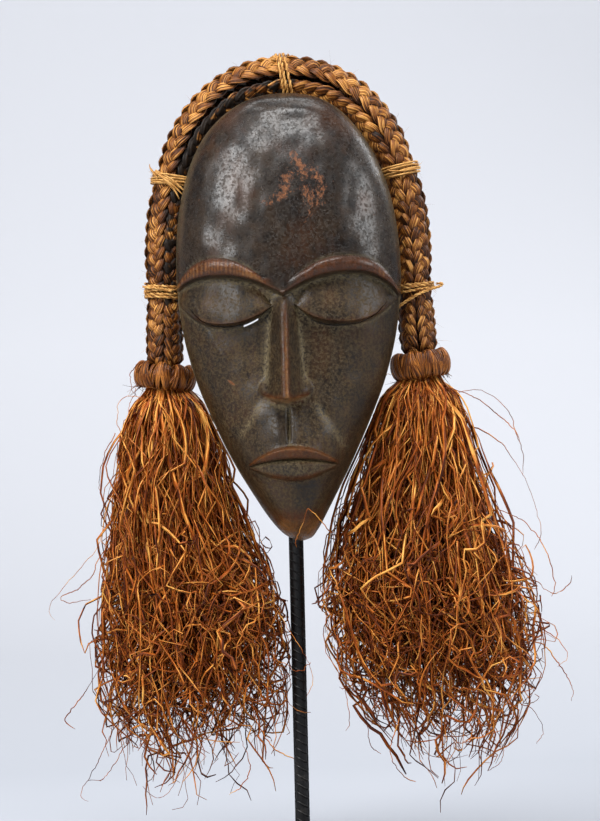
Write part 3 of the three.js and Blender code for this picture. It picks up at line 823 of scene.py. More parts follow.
hollows = ramp(-0.25, -1.4, fine) * (1 - 0.7 * under_lids) + 0.5 * ramp(-0.6, -3.0, wide)
rim = 0.55 * ramp(0.9, 0.98, out_share(across, up)) * ramp(150, 190, up)
folds = 0.8 * sum(reach * bump(aside + 3.2, 1.9) for reach, aside in fold_places(across, up))
dusty_lip = 0.28 * lower_lip * (np.abs(across) < MOUTH)
keep_value(mask, "dust", np.clip(hollows + rim + folds + dusty_lip, 0, 1))


def near_line(across, up, points):
    """How far each place is from a line through a few points."""
    nearest = np.full(len(across), 1e3)
    for (x, z), (next_x, next_z) in zip(points, points[1:]):
        run = np.array([next_x - x, next_z - z])
        share = np.clip(((across - x) * run[0] + (up - z) * run[1]) / (run @ run), 0, 1)
        nearest = np.minimum(nearest, np.hypot(across - x - share * run[0], up - z - share * run[1]))
    return nearest


# The stain has come off the forehead along a few short lines, around a patch left black
FLAKED_LINES = (((4, 222), (9.5, 211)), ((-0.5, 209), (-2, 201)), ((-4, 198.5), (-13, 194)),
                ((15, 212), (20, 203), (18, 194)), ((11, 201), (14, 192), (11, 185)))
flaked_there = bump(np.min([near_line(across, up, line) for line in FLAKED_LINES], 0), 4.4)
flaked_about = bump(np.hypot((across - 4) / 26, (up - 206) / 30), 1)
keep_value(mask, "flaked", 0.5 * flaked_about + 0.5 * flaked_there)
keep_value(mask, "tarred", bump(np.hypot((across - 6) / 15, (up - 204) / 20), 1))
keep_value(mask, "inside", ramp(2.5, 4.5, under_front) * on_face)
keep_value(mask, "cheek", ramp(4, -4, up - brow(across)))


STAIN_DARK = (19, 13, 9)
STAIN = (42, 29, 17)
STAIN_GREY = (52, 40, 26)
STAIN_WARM = (68, 38, 17)
SOIL = (84, 67, 38)
RUBBED_WOOD = (88, 44, 12)
# Pale rubbed wood, partly a painted highlight on the left brow and the nose tip
PALE_RUB_AND_HIGHLIGHT = (130, 88, 48)
BARE_WOOD = (142, 92, 58)
DUST = (146, 132, 100)
TAR = (16, 13, 12)
INNER_WOOD = (74, 52, 36)
WOOD_GLOSS = 0.24
WAX_ROUGHNESS = 0.27
WOOD_RELIEF = 0.0004

NICK_AT = (-0.0347, 0, 0.2898)
NICK_TURN = math.radians(38)
NICK_HALF = (0.0029, 100, 0.0009)

wood, tree, shader, where = new_finish("stained wood")
cloud = speckle(tree, where, 26, 4, 0.6)
drift = speckle(tree, where, 44, 5, 0.6, (1, 1, 0.6))
mottle = speckle(tree, where, 130, 6, 0.62)
blotch = speckle(tree, where, 330, 4, 0.65)
pitting = speckle(tree, where, 620, 5, 0.72)
grit = speckle(tree, where, 1100, 3, 0.6)
grain = speckle(tree, where, 520, 4, 0.6, (1, 1, 0.09))
kept = {name: read_value(tree, name) for name in ("wear_and_highlight", "dust", "flaked", "tarred", "inside", "cheek")}


def share_of(first, second):
    return sum_of(tree, "MULTIPLY", first, second)


def with_share(value, share, rest):
    return sum_of(tree, "MULTIPLY_ADD", value, share, rest)


def tinted(under, share, colour):
    return mixed(tree, share, under, linear(colour))


colour = tinted(linear(STAIN_DARK), between(tree, mottle, 0.36, 0.64), STAIN)
colour = tinted(colour, between(tree, drift, 0.5, 0.68, 0, 0.6), STAIN_WARM)
greyed = share_of(between(tree, cloud, 0.42, 0.62), between(tree, pitting, 0.42, 0.62))
colour = tinted(colour, share_of(greyed, 0.55), STAIN_GREY)
soiled = share_of(between(tree, pitting, 0.42, 0.6), between(tree, drift, 0.38, 0.56, 0.36, 0.8))
soiled = share_of(soiled, kept["cheek"])
colour = tinted(colour, share_of(soiled, 0.85), SOIL)
streaks = between(tree, grain, 0.3, 0.7, 0.72, 1.15)
streaks = share_of(streaks, between(tree, cloud, 0.38, 0.62, 0.7, 1.2))
lines = wire(tree, "CombineColor", {0: streaks, 1: streaks, 2: streaks}).outputs[0]
colour = mixed(tree, 0.8, colour, lines, "MULTIPLY")

# Where hands and cloth have rubbed it, and where the stain has flaked off the forehead. The rubbed wood is
# brown wear; its pale end, reached on the left brow, the nose tip and the chin, is partly a painted
# highlight.
wear_and_highlight = share_of(kept["wear_and_highlight"], between(tree, blotch, 0.36, 0.6, 0.45, 1))
rubbed = tinted(linear(RUBBED_WOOD), between(tree, kept["wear_and_highlight"], 0.74, 1.05), PALE_RUB_AND_HIGHLIGHT)
colour = mixed(tree, share_of(wear_and_highlight, 0.95), colour, rubbed)
tarred = share_of(between(tree, mottle, 0.42, 0.54), between(tree, kept["tarred"], 0.1, 0.6))
colour = tinted(colour, share_of(tarred, 0.8), TAR)
flakes = speckle(tree, where, 520, 9, 0.8, (1, 1, 0.6))
flaked = between(tree, with_share(kept["flaked"], 0.345, flakes), 0.785, 0.825)
flaked = share_of(flaked, between(tree, blotch, 0.36, 0.46, 0.15, 1))
stray_flakes = between(tree, speckle(tree, where, 150, 6, 0.7), 0.72, 0.74)
nick_place = {"Vector": where, "Location": NICK_AT, "Rotation": (0, NICK_TURN, 0), "Scale": NICK_HALF}
from_nick = wire(tree, "Mapping", nick_place, vector_type="TEXTURE").outputs[0]
from_nick = wire(tree, "VectorMath", {0: from_nick}, operation="LENGTH").outputs["Value"]
stray_flakes = sum_of(tree, "MAXIMUM", stray_flakes, between(tree, from_nick, 1, 0.6))
flaked = sum_of(tree, "MAXIMUM", flaked, share_of(stray_flakes, 0.8))
bare = tinted(linear(RUBBED_WOOD), between(tree, pitting, 0.4, 0.6), BARE_WOOD)
colour = mixed(tree, share_of(flaked, 0.82), colour, bare)
settled = share_of(kept["dust"], between(tree, pitting, 0.4, 0.6, 0.05, 1))
colour = tinted(colour, share_of(settled, 0.42), DUST)
colour = mixed(tree, kept["inside"], colour, tinted(linear(STAIN_DARK), mottle, INNER_WOOD))

rough = between(tree, blotch, 0.35, 0.68, 0.22, 0.37)
rough = with_share(between(tree, pitting, 0.52, 0.66), 0.3, rough)
rough = with_share(settled, 0.25, rough)
rough = with_share(kept["inside"], 0.3, rough)
rough = with_share(with_share(wear_and_highlight, -0.5, kept["cheek"]), 0.13, rough)
rough = with_share(flaked, 0.35, rough)
height = with_share(grit, 0.36, share_of(blotch, 0.17))
height = with_share(grain, 0.3, height)
height = with_share(between(tree, pitting, 0.52, 0.68), -0.42, height)
height = with_share(flaked, -0.2, height)

# A thin old coat of wax, rubbed off the ridges, thin on the cheeks and gone from the pits
wax = with_share(wear_and_highlight, -0.46, with_share(kept["cheek"], -0.34, 0.46))
wax = share_of(wax, between(tree, pitting, 0.46, 0.6, 1, 0.25))
feed(shader, {"Base Color": colour, "Roughness": rough, "Specular IOR Level": WOOD_GLOSS,
              "Coat Weight": wax, "Coat Roughness": WAX_ROUGHNESS,
              "Normal": bumped(tree, height, WOOD_RELIEF, 0.9)})
smooth(mask, 48)
fix(mask, wood, "mask_face")


# The band: five plaits of palm fibre laid side by side around nothing, each of three flat strands
# of split straw plaited over and under. The two inner ones are dyed black on their left half.
PLAITS = {"front_outer": 54, "front_inner": 126, "side_inner": 198, "back": 270, "side_outer": 342}
PLAIT_OUT = 8.5
SWING = 2.5
LIFT = 1.1
STRAND_WIDE = 5.8
STRAND_THICK = 2.1
STRAWS = 6
PERIOD = (18.5, 22.5)
PLAIT_STEP = 1.45
TIE_PULL = 0.12
COLLAR_PULL = 0.22
PLAIT_HAIRS = 110
UV_APART = 37
STRAW_FINENESS = 1900


def drawn_in(along):
    """How far the band is pulled together by its ties and in the collars."""
    ties = sum(bump(along - tie_along(name), 11) for name in TIES if name != "tie_top")
    to_end = np.minimum(along, BAND_LONG - along)
    return 1 - TIE_PULL * np.minimum(ties, 1) - COLLAR_PULL * ramp(11, 4.5, to_end)


def travelled(path):
    """How far along a path each of its points is."""
    return np.concatenate([[0], np.cumsum(np.linalg.norm(np.diff(path, axis=0), axis=1))])


def read_along(path, along, wanted):
    """The places on a path at the wanted distances along it."""
    return np.stack([np.interp(wanted, along, path[:, i]) for i in range(3)], 1)


def unit(vectors):
    return vectors / np.maximum(np.linalg.norm(vectors, axis=-1, keepdims=True), 1e-9)


def section_of(sides, lobes=0, depth=0.0):
    """The outline of a strand's section, one across and one thick, with a straw's ridge a lobe."""
    turn = np.arange(sides) * 2 * math.pi / sides
    swell = 1 + depth * np.cos(lobes * turn)
    return np.stack([np.cos(turn) * swell, np.sin(turn) * swell], 1) / 2


def sweep_strands(paths, wide, thick, facing, section, closed=False):
    """Sweeps a section along many paths at once. Gives the points, the faces and their UVs."""
    count, steps, _ = paths.shape
    sides = len(section)
    if closed:
        ahead = unit(np.roll(paths, -1, 1) - np.roll(paths, 1, 1))
    else:
        ahead = unit(np.gradient(paths, axis=1))
    across = unit(np.cross(facing, ahead))
    upright = np.cross(ahead, across)
    out = across[:, :, None] * (section[:, 0] * wide[:, :, None])[..., None]
    rise = upright[:, :, None] * (section[:, 1] * thick[:, :, None])[..., None]
    points = (paths[:, :, None] + out + rise).reshape(-1, 3)

    counts = np.arange(count), np.arange(steps if closed else steps - 1), np.arange(sides)
    strand, step, side = np.meshgrid(*counts, indexing="ij")
    corners = [(step, side), (step, side + 1), (step + 1, side + 1), (step + 1, side)]
    quads = np.stack([(strand * steps + s % steps) * sides + t % sides for s, t in corners], -1)
    gone = np.linalg.norm(np.diff(paths, axis=1), axis=-1)
    length = np.cumsum(np.concatenate([np.zeros((count, 1)), gone, gone[:, -1:]], 1), 1)
    length = length + UV_APART * np.arange(count)[:, None]
    around = np.arange(sides + 1) / sides * float(np.mean(wide)) * 2.2
    uv = np.stack([np.stack([length[strand, s], around[t]], -1) for s, t in corners], -2)
    caps = []
    if not closed:
        ring = np.arange(sides)
        for i in range(count):
            first = i * steps * sides
            caps.append((first + ring[::-1]).tolist())
            caps.append((first + (steps - 1) * sides + ring).tolist())
    return points, quads.reshape(-1, 4), uv.reshape(-1, 2) * MM, caps


def strands_piece(name, parts):
    """One mesh of several sweeps. A part is a sweep and the values kept for each of its strands."""
    points, faces, uvs, values = [], [], [], {}
    at = 0
    for (own_points, quads, uv, caps), kept in parts:
        points.append(own_points)
        faces += (quads + at).tolist() + [[c + at for c in cap] for cap in caps]
        uvs.append(np.concatenate([uv, np.zeros((sum(len(c) for c in caps), 2))]))
        for key, value in kept.items():
            shared = np.repeat(value.ravel(), len(own_points) // value.size)
            values.setdefault(key, []).append(shared)
        at += len(own_points)
    piece = mesh_piece(name, np.concatenate(points) * MM, faces)
    piece.data.uv_layers.new(name="strand").data.foreach_set("uv", np.concatenate(uvs).ravel())
    for key, value in values.items():
        keep_value(piece, key, np.concatenate(value))
    only(piece)
    bpy.ops.object.shade_smooth()
    return piece


def loose_hairs(draw, starts, outward, length, wide):
    """Short fine fibres that have sprung loose, each curving away from where it grows."""
    count = len(starts)
    lean = unit(outward + draw.normal(0, 0.7, (count, 3)))
    curl = draw.normal(0, 0.5, (count, 3))
    t = np.linspace(0, 1, 6)[None, :, None]
    reach = (length * draw.uniform(0.4, 1.2, count))[:, None, None]
    paths = starts[:, None] + reach * t * (lean[:, None] + curl[:, None] * t)
    taper = wide * (1 - 0.75 * t[..., 0]) * np.ones((count, 1))
    facing = unit(draw.normal(0, 1, (count, 1, 3)))
    return sweep_strands(paths, taper, 0.7 * taper, facing, section_of(3))


def three_strands(along, angle, phase):
    """The paths of a plait's strands, which way their flat sides look, and where they pass over."""
    height = np.interp(along, np.arange(len(BAND)), BAND[:, 1])
    period = PERIOD[0] + (PERIOD[1] - PERIOD[0]) * ramp(CHIN + 130, CHIN + 215, height)
    turns = phase + np.cumsum(np.gradient(along) * 2 * math.pi / period)
    drawn = drawn_in(along) * (1 + 0.12 * fuller(along))
    turn = math.radians(angle) + 0.10 * np.sin(along / 41 + phase)
    k = np.arange(3)[:, None]
    theta = turns + 2 * math.pi * k / 3
    over = np.sin(2 * theta)
    loose = 1 + 0.09 * np.sin(along / 13.7 + 2.1 * k + phase)
    across = SWING * loose * np.sin(theta) * drawn
    out = PLAIT_OUT * drawn_in(along) + LIFT * over * drawn
    outwards = out * np.cos(turn) - across * np.sin(turn)
    forwards = out * np.sin(turn) + across * np.cos(turn)
    paths = on_band(along, outwards, forwards)
    looks = unit(on_band(along, outwards + np.cos(turn), forwards + np.sin(turn)) - paths)
    return paths, looks, drawn * np.ones_like(over), over


# Straw and raffia: fine lines along each strand, read from the strand's own UV
straw_lines, asked, given = group_of(
    "straw lines", {"Fineness": "Float", "Patch": "Float"}, ("Line", "Patch"))
strand_uv = wire(straw_lines, "UVMap", {}, uv_map="strand").outputs[0]
feed(given, {
    "Line": speckle(straw_lines, strand_uv, asked["Fineness"], stretch=(0.035, 1, 1)),
    "Patch": speckle(straw_lines, strand_uv, asked["Patch"]),
})


def ladder(tree, value, *steps):
    """Colours from one to the next as the value rises: (place, colour) steps."""
    made = tree.nodes.new("ShaderNodeValToRGB")
    tree.links.new(value, made.inputs[0])
    stops = made.color_ramp.elements
    while len(stops) < len(steps):
        stops.new(0.5)
    for stop, (at, colour) in zip(stops, steps):
        stop.position = at
        stop.color = linear(colour)
    return made.outputs[0]


def fibre_finish(name, steps, fineness, patch=90, dye=None, gloss=0.42, relief=0.0004):
    """Dry fibre: a ladder of colours by each strand's tone, with the painted light and shade that it
    carries, its lines and its patches.
    """
    material, tree, shader, _ = new_finish(name)
    lines = wire(tree, "Group", {"Fineness": fineness, "Patch": patch}, node_tree=straw_lines).outputs
    patchy = between(tree, lines["Patch"], 0.3, 0.7, -0.2, 0.2)
    tone_and_painted_light = sum_of(tree, "ADD", patchy, read_value(tree, "tone_and_painted_light"))
    tone_and_painted_light = sum_of(tree, "ADD", between(tree, lines["Line"], 0.34, 0.66, -0.5, 0.5), tone_and_painted_light)
    colour = ladder(tree, tone_and_painted_light, *steps)
    if dye:
        soaked = between(tree, lines["Patch"], 0.35, 0.65, -0.32, 0.32)
        soaked = sum_of(tree, "ADD", read_value(tree, "dyed"), soaked)
        dyed = ladder(tree, lines["Line"], (0.3, dye[0]), (0.8, dye[1]))
        colour = mixed(tree, between(tree, soaked, 0.45, 0.6), colour, dyed)
    rough = between(tree, lines["Line"], 0.3, 0.7, gloss + 0.12, gloss - 0.08)
    feed(shader, {"Base Color": colour, "Roughness": rough, "Specular IOR Level": 0.2,
                  "Normal": bumped(tree, lines["Line"], relief, 0.9)})
    return material


STRAW = ((0.0, (24, 11, 4)), (0.35, (78, 41, 14)), (0.65, (128, 74, 26)), (1.0, (204, 146, 76)))
palm_straw = fibre_finish("palm straw", STRAW, STRAW_FINENESS)
dyed_straw = fibre_finish("dyed palm straw", STRAW, STRAW_FINENESS, dye=((9, 7, 5), (48, 34, 23)))
draw = np.random.default_rng(41)
along = np.linspace(0, BAND_LONG, int(BAND_LONG / PLAIT_STEP))
way = along / BAND_LONG
dye_taken = {
    "front_inner": ramp(0.56, 0.47, way) * ramp(0.06, 0.16, way) * 0.68 + 0.15 * np.sin(along / 17),
    "side_inner": ramp(0.52, 0.44, way) * ramp(0.03, 0.1, way) * 0.55,
}
for place, angle in PLAITS.items():
    paths, looks, drawn, over = three_strands(along, angle, draw.uniform(0, 6.3))
    tones_and_painted_light = draw.uniform(0.44, 0.6, (3, 1))
    tones_and_painted_light = tones_and_painted_light + 0.17 * np.sin(along / draw.uniform(5, 9, (3, 1)) + draw.uniform(0, 6, (3, 1)))
    # Painted shade and light: a strand is darker where it passes under the others, and the band is lighter
    # over the crown and darker down the legs.
    tones_and_painted_light = tones_and_painted_light - 0.46 * (0.5 - 0.5 * over) ** 1.5 + 0.16 * fuller(along) - 0.04
    dyed = np.zeros_like(tones_and_painted_light) + dye_taken.get(place, 0)
    straws = section_of(3 * STRAWS, STRAWS, 0.2)
    body = sweep_strands(paths, STRAND_WIDE * drawn, STRAND_THICK * drawn, looks, straws)
    pick = draw.integers(0, paths.shape[1], PLAIT_HAIRS)
    which = draw.integers(0, 3, PLAIT_HAIRS)
    look = looks[which, pick]
    hairs = loose_hairs(draw, paths[which, pick] + look * 1.1, look * 0.5, 5, 0.16)
    hair_tones = draw.uniform(0.4, 0.9, PLAIT_HAIRS)
    piece = strands_piece("plait_" + place, [
        (body, {"tone_and_painted_light": tones_and_painted_light, "dyed": dyed}),
        (hairs, {"tone_and_painted_light": hair_tones, "dyed": 0 * hair_tones}),
    ])
    fix(piece, dyed_straw if place in dye_taken else palm_straw, "braid_" + place)


# The collars: at each end of the band a fat ring, wound upright and close with raffia over a
# core, in nine fat bulges on the left and eight flatter ones on the right. The tassels hang
# from them.
COLLARS = {
    "left": {"at": (-74.3, 294.9), "tilt": 7.7, "wide": 37, "tall": 16.5, "bulges": 9, "dip": 0.4},
    "right": {"at": (75.2, 298.3), "tilt": -7, "wide": 36, "tall": 17, "bulges": 8, "dip": 0.14},
}
COLLAR_HOLE = 9.3
COLLAR_TURNS = 88
WRAP_STEPS = 24
CORE_STEPS = 48
WRAP_WIDE = 2.2
WRAP_THICK = 0.85
FRINGE = 90


def collar_piece(name, at, tilt, wide, tall, bulges, dip):
    tube = (wide / 2 - COLLAR_HOLE) / 2
    ring_radius = COLLAR_HOLE + tube
    lean = math.radians(tilt)

    def placed(radius, turn, height):
        x, y, z = radius * np.cos(turn), -radius * np.sin(turn), height
        return np.stack([at[0] + x * math.cos(lean) + z * math.sin(lean), BACK + BAND_DEPTH + y,
                         at[1] + z * math.cos(lean) - x * math.sin(lean)], -1)

    turns = (np.arange(COLLAR_TURNS) + draw.normal(0, 0.16, COLLAR_TURNS)) * 2 * math.pi / COLLAR_TURNS
    chi = np.linspace(0, 2 * math.pi, WRAP_STEPS, endpoint=False)[None]
    fat = 1 - dip * (1 - np.abs(np.sin(bulges / 2 * (turns + 0.1)))) ** 1.6
    fat = fat + draw.normal(0, 0.02, COLLAR_TURNS)
    skew = draw.normal(0, 0.05, (COLLAR_TURNS, 1)) + 0.13 * np.sin(bulges * turns)[:, None]
    grow = (fat - WRAP_THICK / 2 / tube)[:, None]
    paths = placed(ring_radius + tube * grow * np.cos(chi), turns[:, None] + skew * np.sin(chi),
                   tall / 2 * grow * np.sin(chi))
    hub = placed(ring_radius, turns[:, None] + 0 * chi, 0 * chi)
    one = np.ones(paths.shape[:2])
    wraps = sweep_strands(paths, WRAP_WIDE * one, WRAP_THICK * one, unit(paths - hub), section_of(6), True)
    turn = np.linspace(0, 2 * math.pi, CORE_STEPS, endpoint=False)[None]
    core_path = placed(ring_radius, turn, 0 * turn)
    one = np.ones((1, CORE_STEPS))
    core_wide, core_tall = (size * (1 - dip) - 2 for size in (2 * tube, tall))
    upwards = np.array([math.sin(lean), 0, math.cos(lean)])
    core = sweep_strands(core_path, core_wide * one, core_tall * one, upwards, section_of(12), True)
    # Painted shade: the wraps are darker in the dips between the bulges and lighter on the bulges.
    tones_and_painted_light = 0.2 + 0.42 * fat + 0.05 * np.sin(turns * 5) + draw.normal(0, 0.05, COLLAR_TURNS)
    pick = draw.uniform(0, 2 * math.pi, FRINGE)
    out = ring_radius + tube * draw.uniform(-0.7, 0.5, FRINGE)
    foot = placed(out, pick, np.full(FRINGE, -0.42 * tall))
    away = unit(foot - np.array([at[0], BACK + BAND_DEPTH, at[1] + 4]))
    fringe = loose_hairs(draw, foot, away, 6, 0.55)
    return strands_piece(name, [
        (wraps, {"tone_and_painted_light": tones_and_painted_light}),
        # Painted shade: the core takes the darkest tone, so any gap between the wraps shows dark.
        (core, {"tone_and_painted_light": np.array([0.05])}),
        (fringe, {"tone_and_painted_light": draw.uniform(0.3, 0.8, FRINGE)}),
    ])


WOUND = ((0.0, (26, 10, 2)), (0.3, (62, 28, 6)), (0.6, (98, 50, 13)), (1.0, (172, 108, 46)))
wound_raffia = fibre_finish("wound raffia", WOUND, 2200, 120, gloss=0.36)
for side, sizes in COLLARS.items():
    fix(collar_piece("collar_" + side, **sizes), wound_raffia, "ring_" + side)


# The ties: two-ply twine wound a few times round the band, passed through its hole in the rim
# of the mask and knotted, with the cut ends left to fray.
TWINE = 1.85
PLY = 1.18
PLY_PITCH = 5
TIE_REACH = 10.6
THROUGH = ((-8.3, -1), (-8.6, 2.0), (-10.5, 4.0), (-16, 4.2), (-22.0, 4.2), (-23.9, 1.8), (-23.4, -1.2),
           (-17, -1.6), (-10.2, -1.4))
KNOT_HAIRS = 16
KNOT_OUT = 10.4
KNOT_FRONT = 1.5
STEPS_A_TURN = 58
CORD_STEP = 0.9
SKEW = (0.3, 0.5, 0.81)
STRAW_WIDE = 1.15
STRAW_APART = 0.62
WINDINGS = {
    "left_lower": {"turns": 4, "pitch": 2.5, "slope": 0.6, "plied": True},
    "left_upper": {"turns": 3.5, "pitch": 1.9, "slope": -1.8, "plied": False},
    "top": {"turns": 3, "pitch": 2.7, "slope": -2.0, "plied": True},
    "right_upper": {"turns": 3.5, "pitch": 2.3, "slope": 1.2, "plied": False},
    "right_lower": {"turns": 2.6, "pitch": 2.0, "slope": -0.5, "plied": True},
}

# The cut ends that show in front, by their places: along the band, outwards and forwards
LOOSE_ENDS = {
    "tie_left_upper": (
        ((2.0, 9.5, 8.0), (0.5, 6.0, 10.8), (-1.5, -1.0, 11.8), (-4.5, -7.0, 10.8)),
        ((1.0, 9.5, 8.5), (-0.5, 5.0, 11.4), (-4.0, -2.0, 11.8), (-7.5, -7.5, 11.0)),
        ((1.6, 10.5, 7.5), (-1.0, 4.0, 11.9), (-6.0, -2.5, 11.6), (-10.5, -6.0, 11.0)),
        ((2.5, 10.0, 7.5), (1.0, 3.0, 11.6), (-2.6, -4.0, 12.0), (-5.8, -9.0, 11.2)),
        ((-1.5, 8.0, 9.5), (1.5, 11.5, 7.0), (3.5, 13.5, 5.5), (5.0, 14.0, 5.0)),
    ),
    "tie_top": (
        ((-2.5, 6.6, 8.6), (-4.0, 8.6, 6.4), (-5.6, 10.2, 4.2), (-7.0, 10.6, 2.6), (-7.8, 9.2, 2.6),
         (-6.2, 8.6, 5.0)),
        ((-1.0, 7.4, 8.2), (-4.2, 9.0, 6.4), (-7.4, 9.2, 5.4), (-9.4, 8.8, 5.8)),
    ),
    "tie_right_lower": (
        ((13.5, -13.5, 8.0), (8.5, -7.0, 10.5), (4.0, 2.0, 12.0), (1.8, 9.0, 10.5), (0.2, 15.5, 7.5),
         (-1.2, 16.0, 6.8), (-1.2, 12.0, 8.0)),
    ),
    "tie_right_upper": (
        ((-1.0, -5.0, 11.0), (1.2, 1.5, 11.8), (2.6, 8.5, 9.6), (3.0, 11.5, 6.0)),
    ),
    "tie_left_lower": (
        ((-0.5, -4.5, 11.2), (1.4, 1.5, 11.9), (2.0, 8.0, 9.8), (2.8, 12.0, 7.0)),
    ),
}


def rounded(points):
    """A smooth path through a few points, with its corners taken off."""
    path = np.asarray(points, float)
    for _ in range(3):
        first, second = path[:-1], path[1:]
        kept = np.stack([0.75 * first + 0.25 * second, 0.25 * first + 0.75 * second], 1)
        path = np.concatenate([path[:1], kept.reshape(-1, 3), path[-1:]])
    gone = travelled(path)
    return read_along(path, gone, np.linspace(0, gone[-1], max(int(gone[-1] / CORD_STEP), 4)))


def beside(path):
    """Two directions square to a path and to each other, at each of its points."""
    ahead = unit(np.gradient(path, axis=0))
    side = unit(np.cross(ahead, SKEW))
    return side, np.cross(ahead, side)


def two_ply(path):
    """Two plies twisted together along a path."""
    side, other = beside(path)
    turn = travelled(path) * 2 * math.pi / PLY_PITCH + np.array([[0], [math.pi]])
    reach = (TWINE - PLY) / 2 + 0.08
    paths = path + reach * (np.cos(turn)[..., None] * side + np.sin(turn)[..., None] * other)
    full = np.full(paths.shape[:2], PLY)
    full[:, -4:] *= np.linspace(1, 0.45, 4)
    return sweep_strands(paths, full, full, side[None], section_of(6))


def flat_straws(path, count):
    """A few flat straws that run side by side."""
    side, _ = beside(path)
    t = np.linspace(0, 1, len(path))
    paths = []
    for k in range(count):
        aside = STRAW_APART * (k - (count - 1) / 2) + 0.25 * np.sin(9 * t + 2 * k)
        paths.append(path + side * aside[:, None] + draw.normal(0, 0.05, 3))
    paths = np.array(paths)
    wide = np.full(paths.shape[:2], STRAW_WIDE)
    wide[:, -5:] *= np.linspace(1, 0.3, 5)
    return sweep_strands(paths, wide, 0.5 * wide, side[None], section_of(5))


def tie_piece(place, turns, pitch, slope, plied):
    node = "tie_" + place
    centre = tie_along(node)
    angle = np.linspace(-0.4, 2 * math.pi * turns, int(turns * STEPS_A_TURN))
    share = angle / (2 * math.pi * turns)
    along = centre + (share - 0.5) * pitch * turns * 0.8 + slope * np.cos(angle)
    along = along + 0.35 * np.sin(angle * 1.3 + 1)
    over_plaits = 0.25 * np.cos(5 * (angle - math.radians(PLAITS["front_outer"])))
    reach = TIE_REACH + 0.9 * fuller(centre) + over_plaits + 0.15 * np.sin(angle * 2.6)
    winding = on_band(along, reach * np.cos(angle), reach * np.sin(angle))
    through = rounded([on_band(centre, out, BAND_DEPTH + deep) for out, deep in THROUGH])
    parts = []
    for path in (winding, through):
        made = two_ply(path) if plied else flat_straws(path, 3)
        # Painted light and shade: the two plies of a cord take a dark and a light tone, so the twist shows
        # as lit and shaded turns.
        parts.append((made, {"tone_and_painted_light": np.array([0.4, 0.8]) if plied else draw.uniform(0.5, 0.8, 3)}))
    for run in LOOSE_ENDS[node]:
        end = rounded([on_band(centre + down, out, front) for down, out, front in run])
        made = two_ply(end) if plied else flat_straws(end, 2)
        parts.append((made, {"tone_and_painted_light": draw.uniform(0.55, 0.8, 2)}))
    hairs = np.ones(KNOT_HAIRS)
    beside_knot = centre + draw.normal(0, 0.8, KNOT_HAIRS)
    knot = on_band(beside_knot, KNOT_OUT * hairs, draw.normal(KNOT_FRONT, 0.8, KNOT_HAIRS))
    away = on_band(centre * hairs, (KNOT_OUT + 1) * hairs, KNOT_FRONT + 1)
    away = away - on_band(centre * hairs, KNOT_OUT * hairs, KNOT_FRONT)
    frayed = loose_hairs(draw, knot, away, 2.8, 0.34)
    parts.append((frayed, {"tone_and_painted_light": draw.uniform(0.5, 0.9, KNOT_HAIRS)}))
    return strands_piece("twine_" + place, parts)


TWINE_TONES = ((0.0, (76, 44, 16)), (0.35, (136, 88, 38)), (0.65, (182, 128, 62)), (1.0, (222, 174, 104)))
twine_finish = fibre_finish("straw twine", TWINE_TONES, 4200, 160, gloss=0.5, relief=0.00012)
for place, winding in WINDINGS.items():
    fix(tie_piece(place, **winding), twine_finish, "tie_" + place)


# The tassels: a big loose bell of raffia under each collar, a thousand flat dry strips in two
# layers. They hang straight and fanned at the top, and tangle, kink and curl towards the ends.
# Each row of a bell is a height, and how far across its left and right edges are there.
BELLS = {
    "left": ((52, -110, -14), (70, -108, -13), (95, -116, -4), (141, -118, -5), (165, -116, -8),
             (188, -114, -15), (211, -112, -25), (234, -110, -33), (252, -108, -39), (277, -98, -48),
             (286, -86, -60), (296, -81, -67)),
    "right": ((52, 66, 108), (70, 58, 118), (92, 40, 132), (115, 25, 143), (138, 16, 146), (161, 14, 144),
              (184, 16, 136), (208, 21, 126), (231, 29, 116), (248, 37, 109), (280, 50, 99), (289, 62, 87),
              (299, 68, 82)),
}
FIBRES = 500
LAYERS = 2
FIBRE_STEPS = 36
FIBRE_STRIDE = ((0, 0.2, 0.5, 1), (6, 7.8, 9, 6.8))
FIBRE_LENGTH = (0.55, 0.92, 1.08)
FIBRE_WIDE = (0.7, 1.75)
STRAY_WIDE = (0.45, 0.85)
RIBBONS = 0.35
BELL_DEPTH = 40
NECK = 7.4
BAR_CLEAR = 6.2
MASK_CLEAR = 1.6


def bell_at(bell, height):
    """The bell's middle, half width and half depth at a height."""
    heights, lefts, rights = np.array(bell, float).T
    left, right = np.interp(height, heights, lefts), np.interp(height, heights, rights)
    half = (right - left) / 2
    return (left + right) / 2, half, half * BELL_DEPTH / np.hypot(half, BELL_DEPTH)


def kept_clear(spots):
    """Moves fibres off the bar and out of the wood of the mask."""
    far = np.hypot(spots[:, 0], spots[:, 1])
    push = np.maximum(BAR_CLEAR / np.maximum(far, 0.1), 1)
    near = (spots[:, 2] < BAR_TOP) & (far < BAR_CLEAR)
    spots[near, :2] *= push[near, None]
    up = spots[:, 2] - CHIN
    half = outline(np.clip(up, 0.5, WIDEST_AT)) + MASK_CLEAR
    axis = middle(np.clip(up, 0, WIDEST_AT))
    aside = spots[:, 0] - axis
    inside = (up > 0) & (np.abs(aside) < half) & (spots[:, 1] < 6) & (spots[:, 1] > -44)
    spots[inside, 0] = (axis + np.sign(aside) * half)[inside]
    return spots


def held_in(spots, bell, reach):
    """Keeps each fibre within its own reach of the bell's middle."""
    centre, half, deep = bell_at(bell, spots[:, 2])
    middle_of_bell = np.stack([centre, np.full(len(spots), BACK + BAND_DEPTH)], 1)
    aside = spots[:, :2] - middle_of_bell
    outside = np.hypot(aside[:, 0] / half, aside[:, 1] / deep)
    spots[:, :2] = middle_of_bell + aside * np.minimum(1, reach / np.maximum(outside, 0.01))[:, None]
    return spots


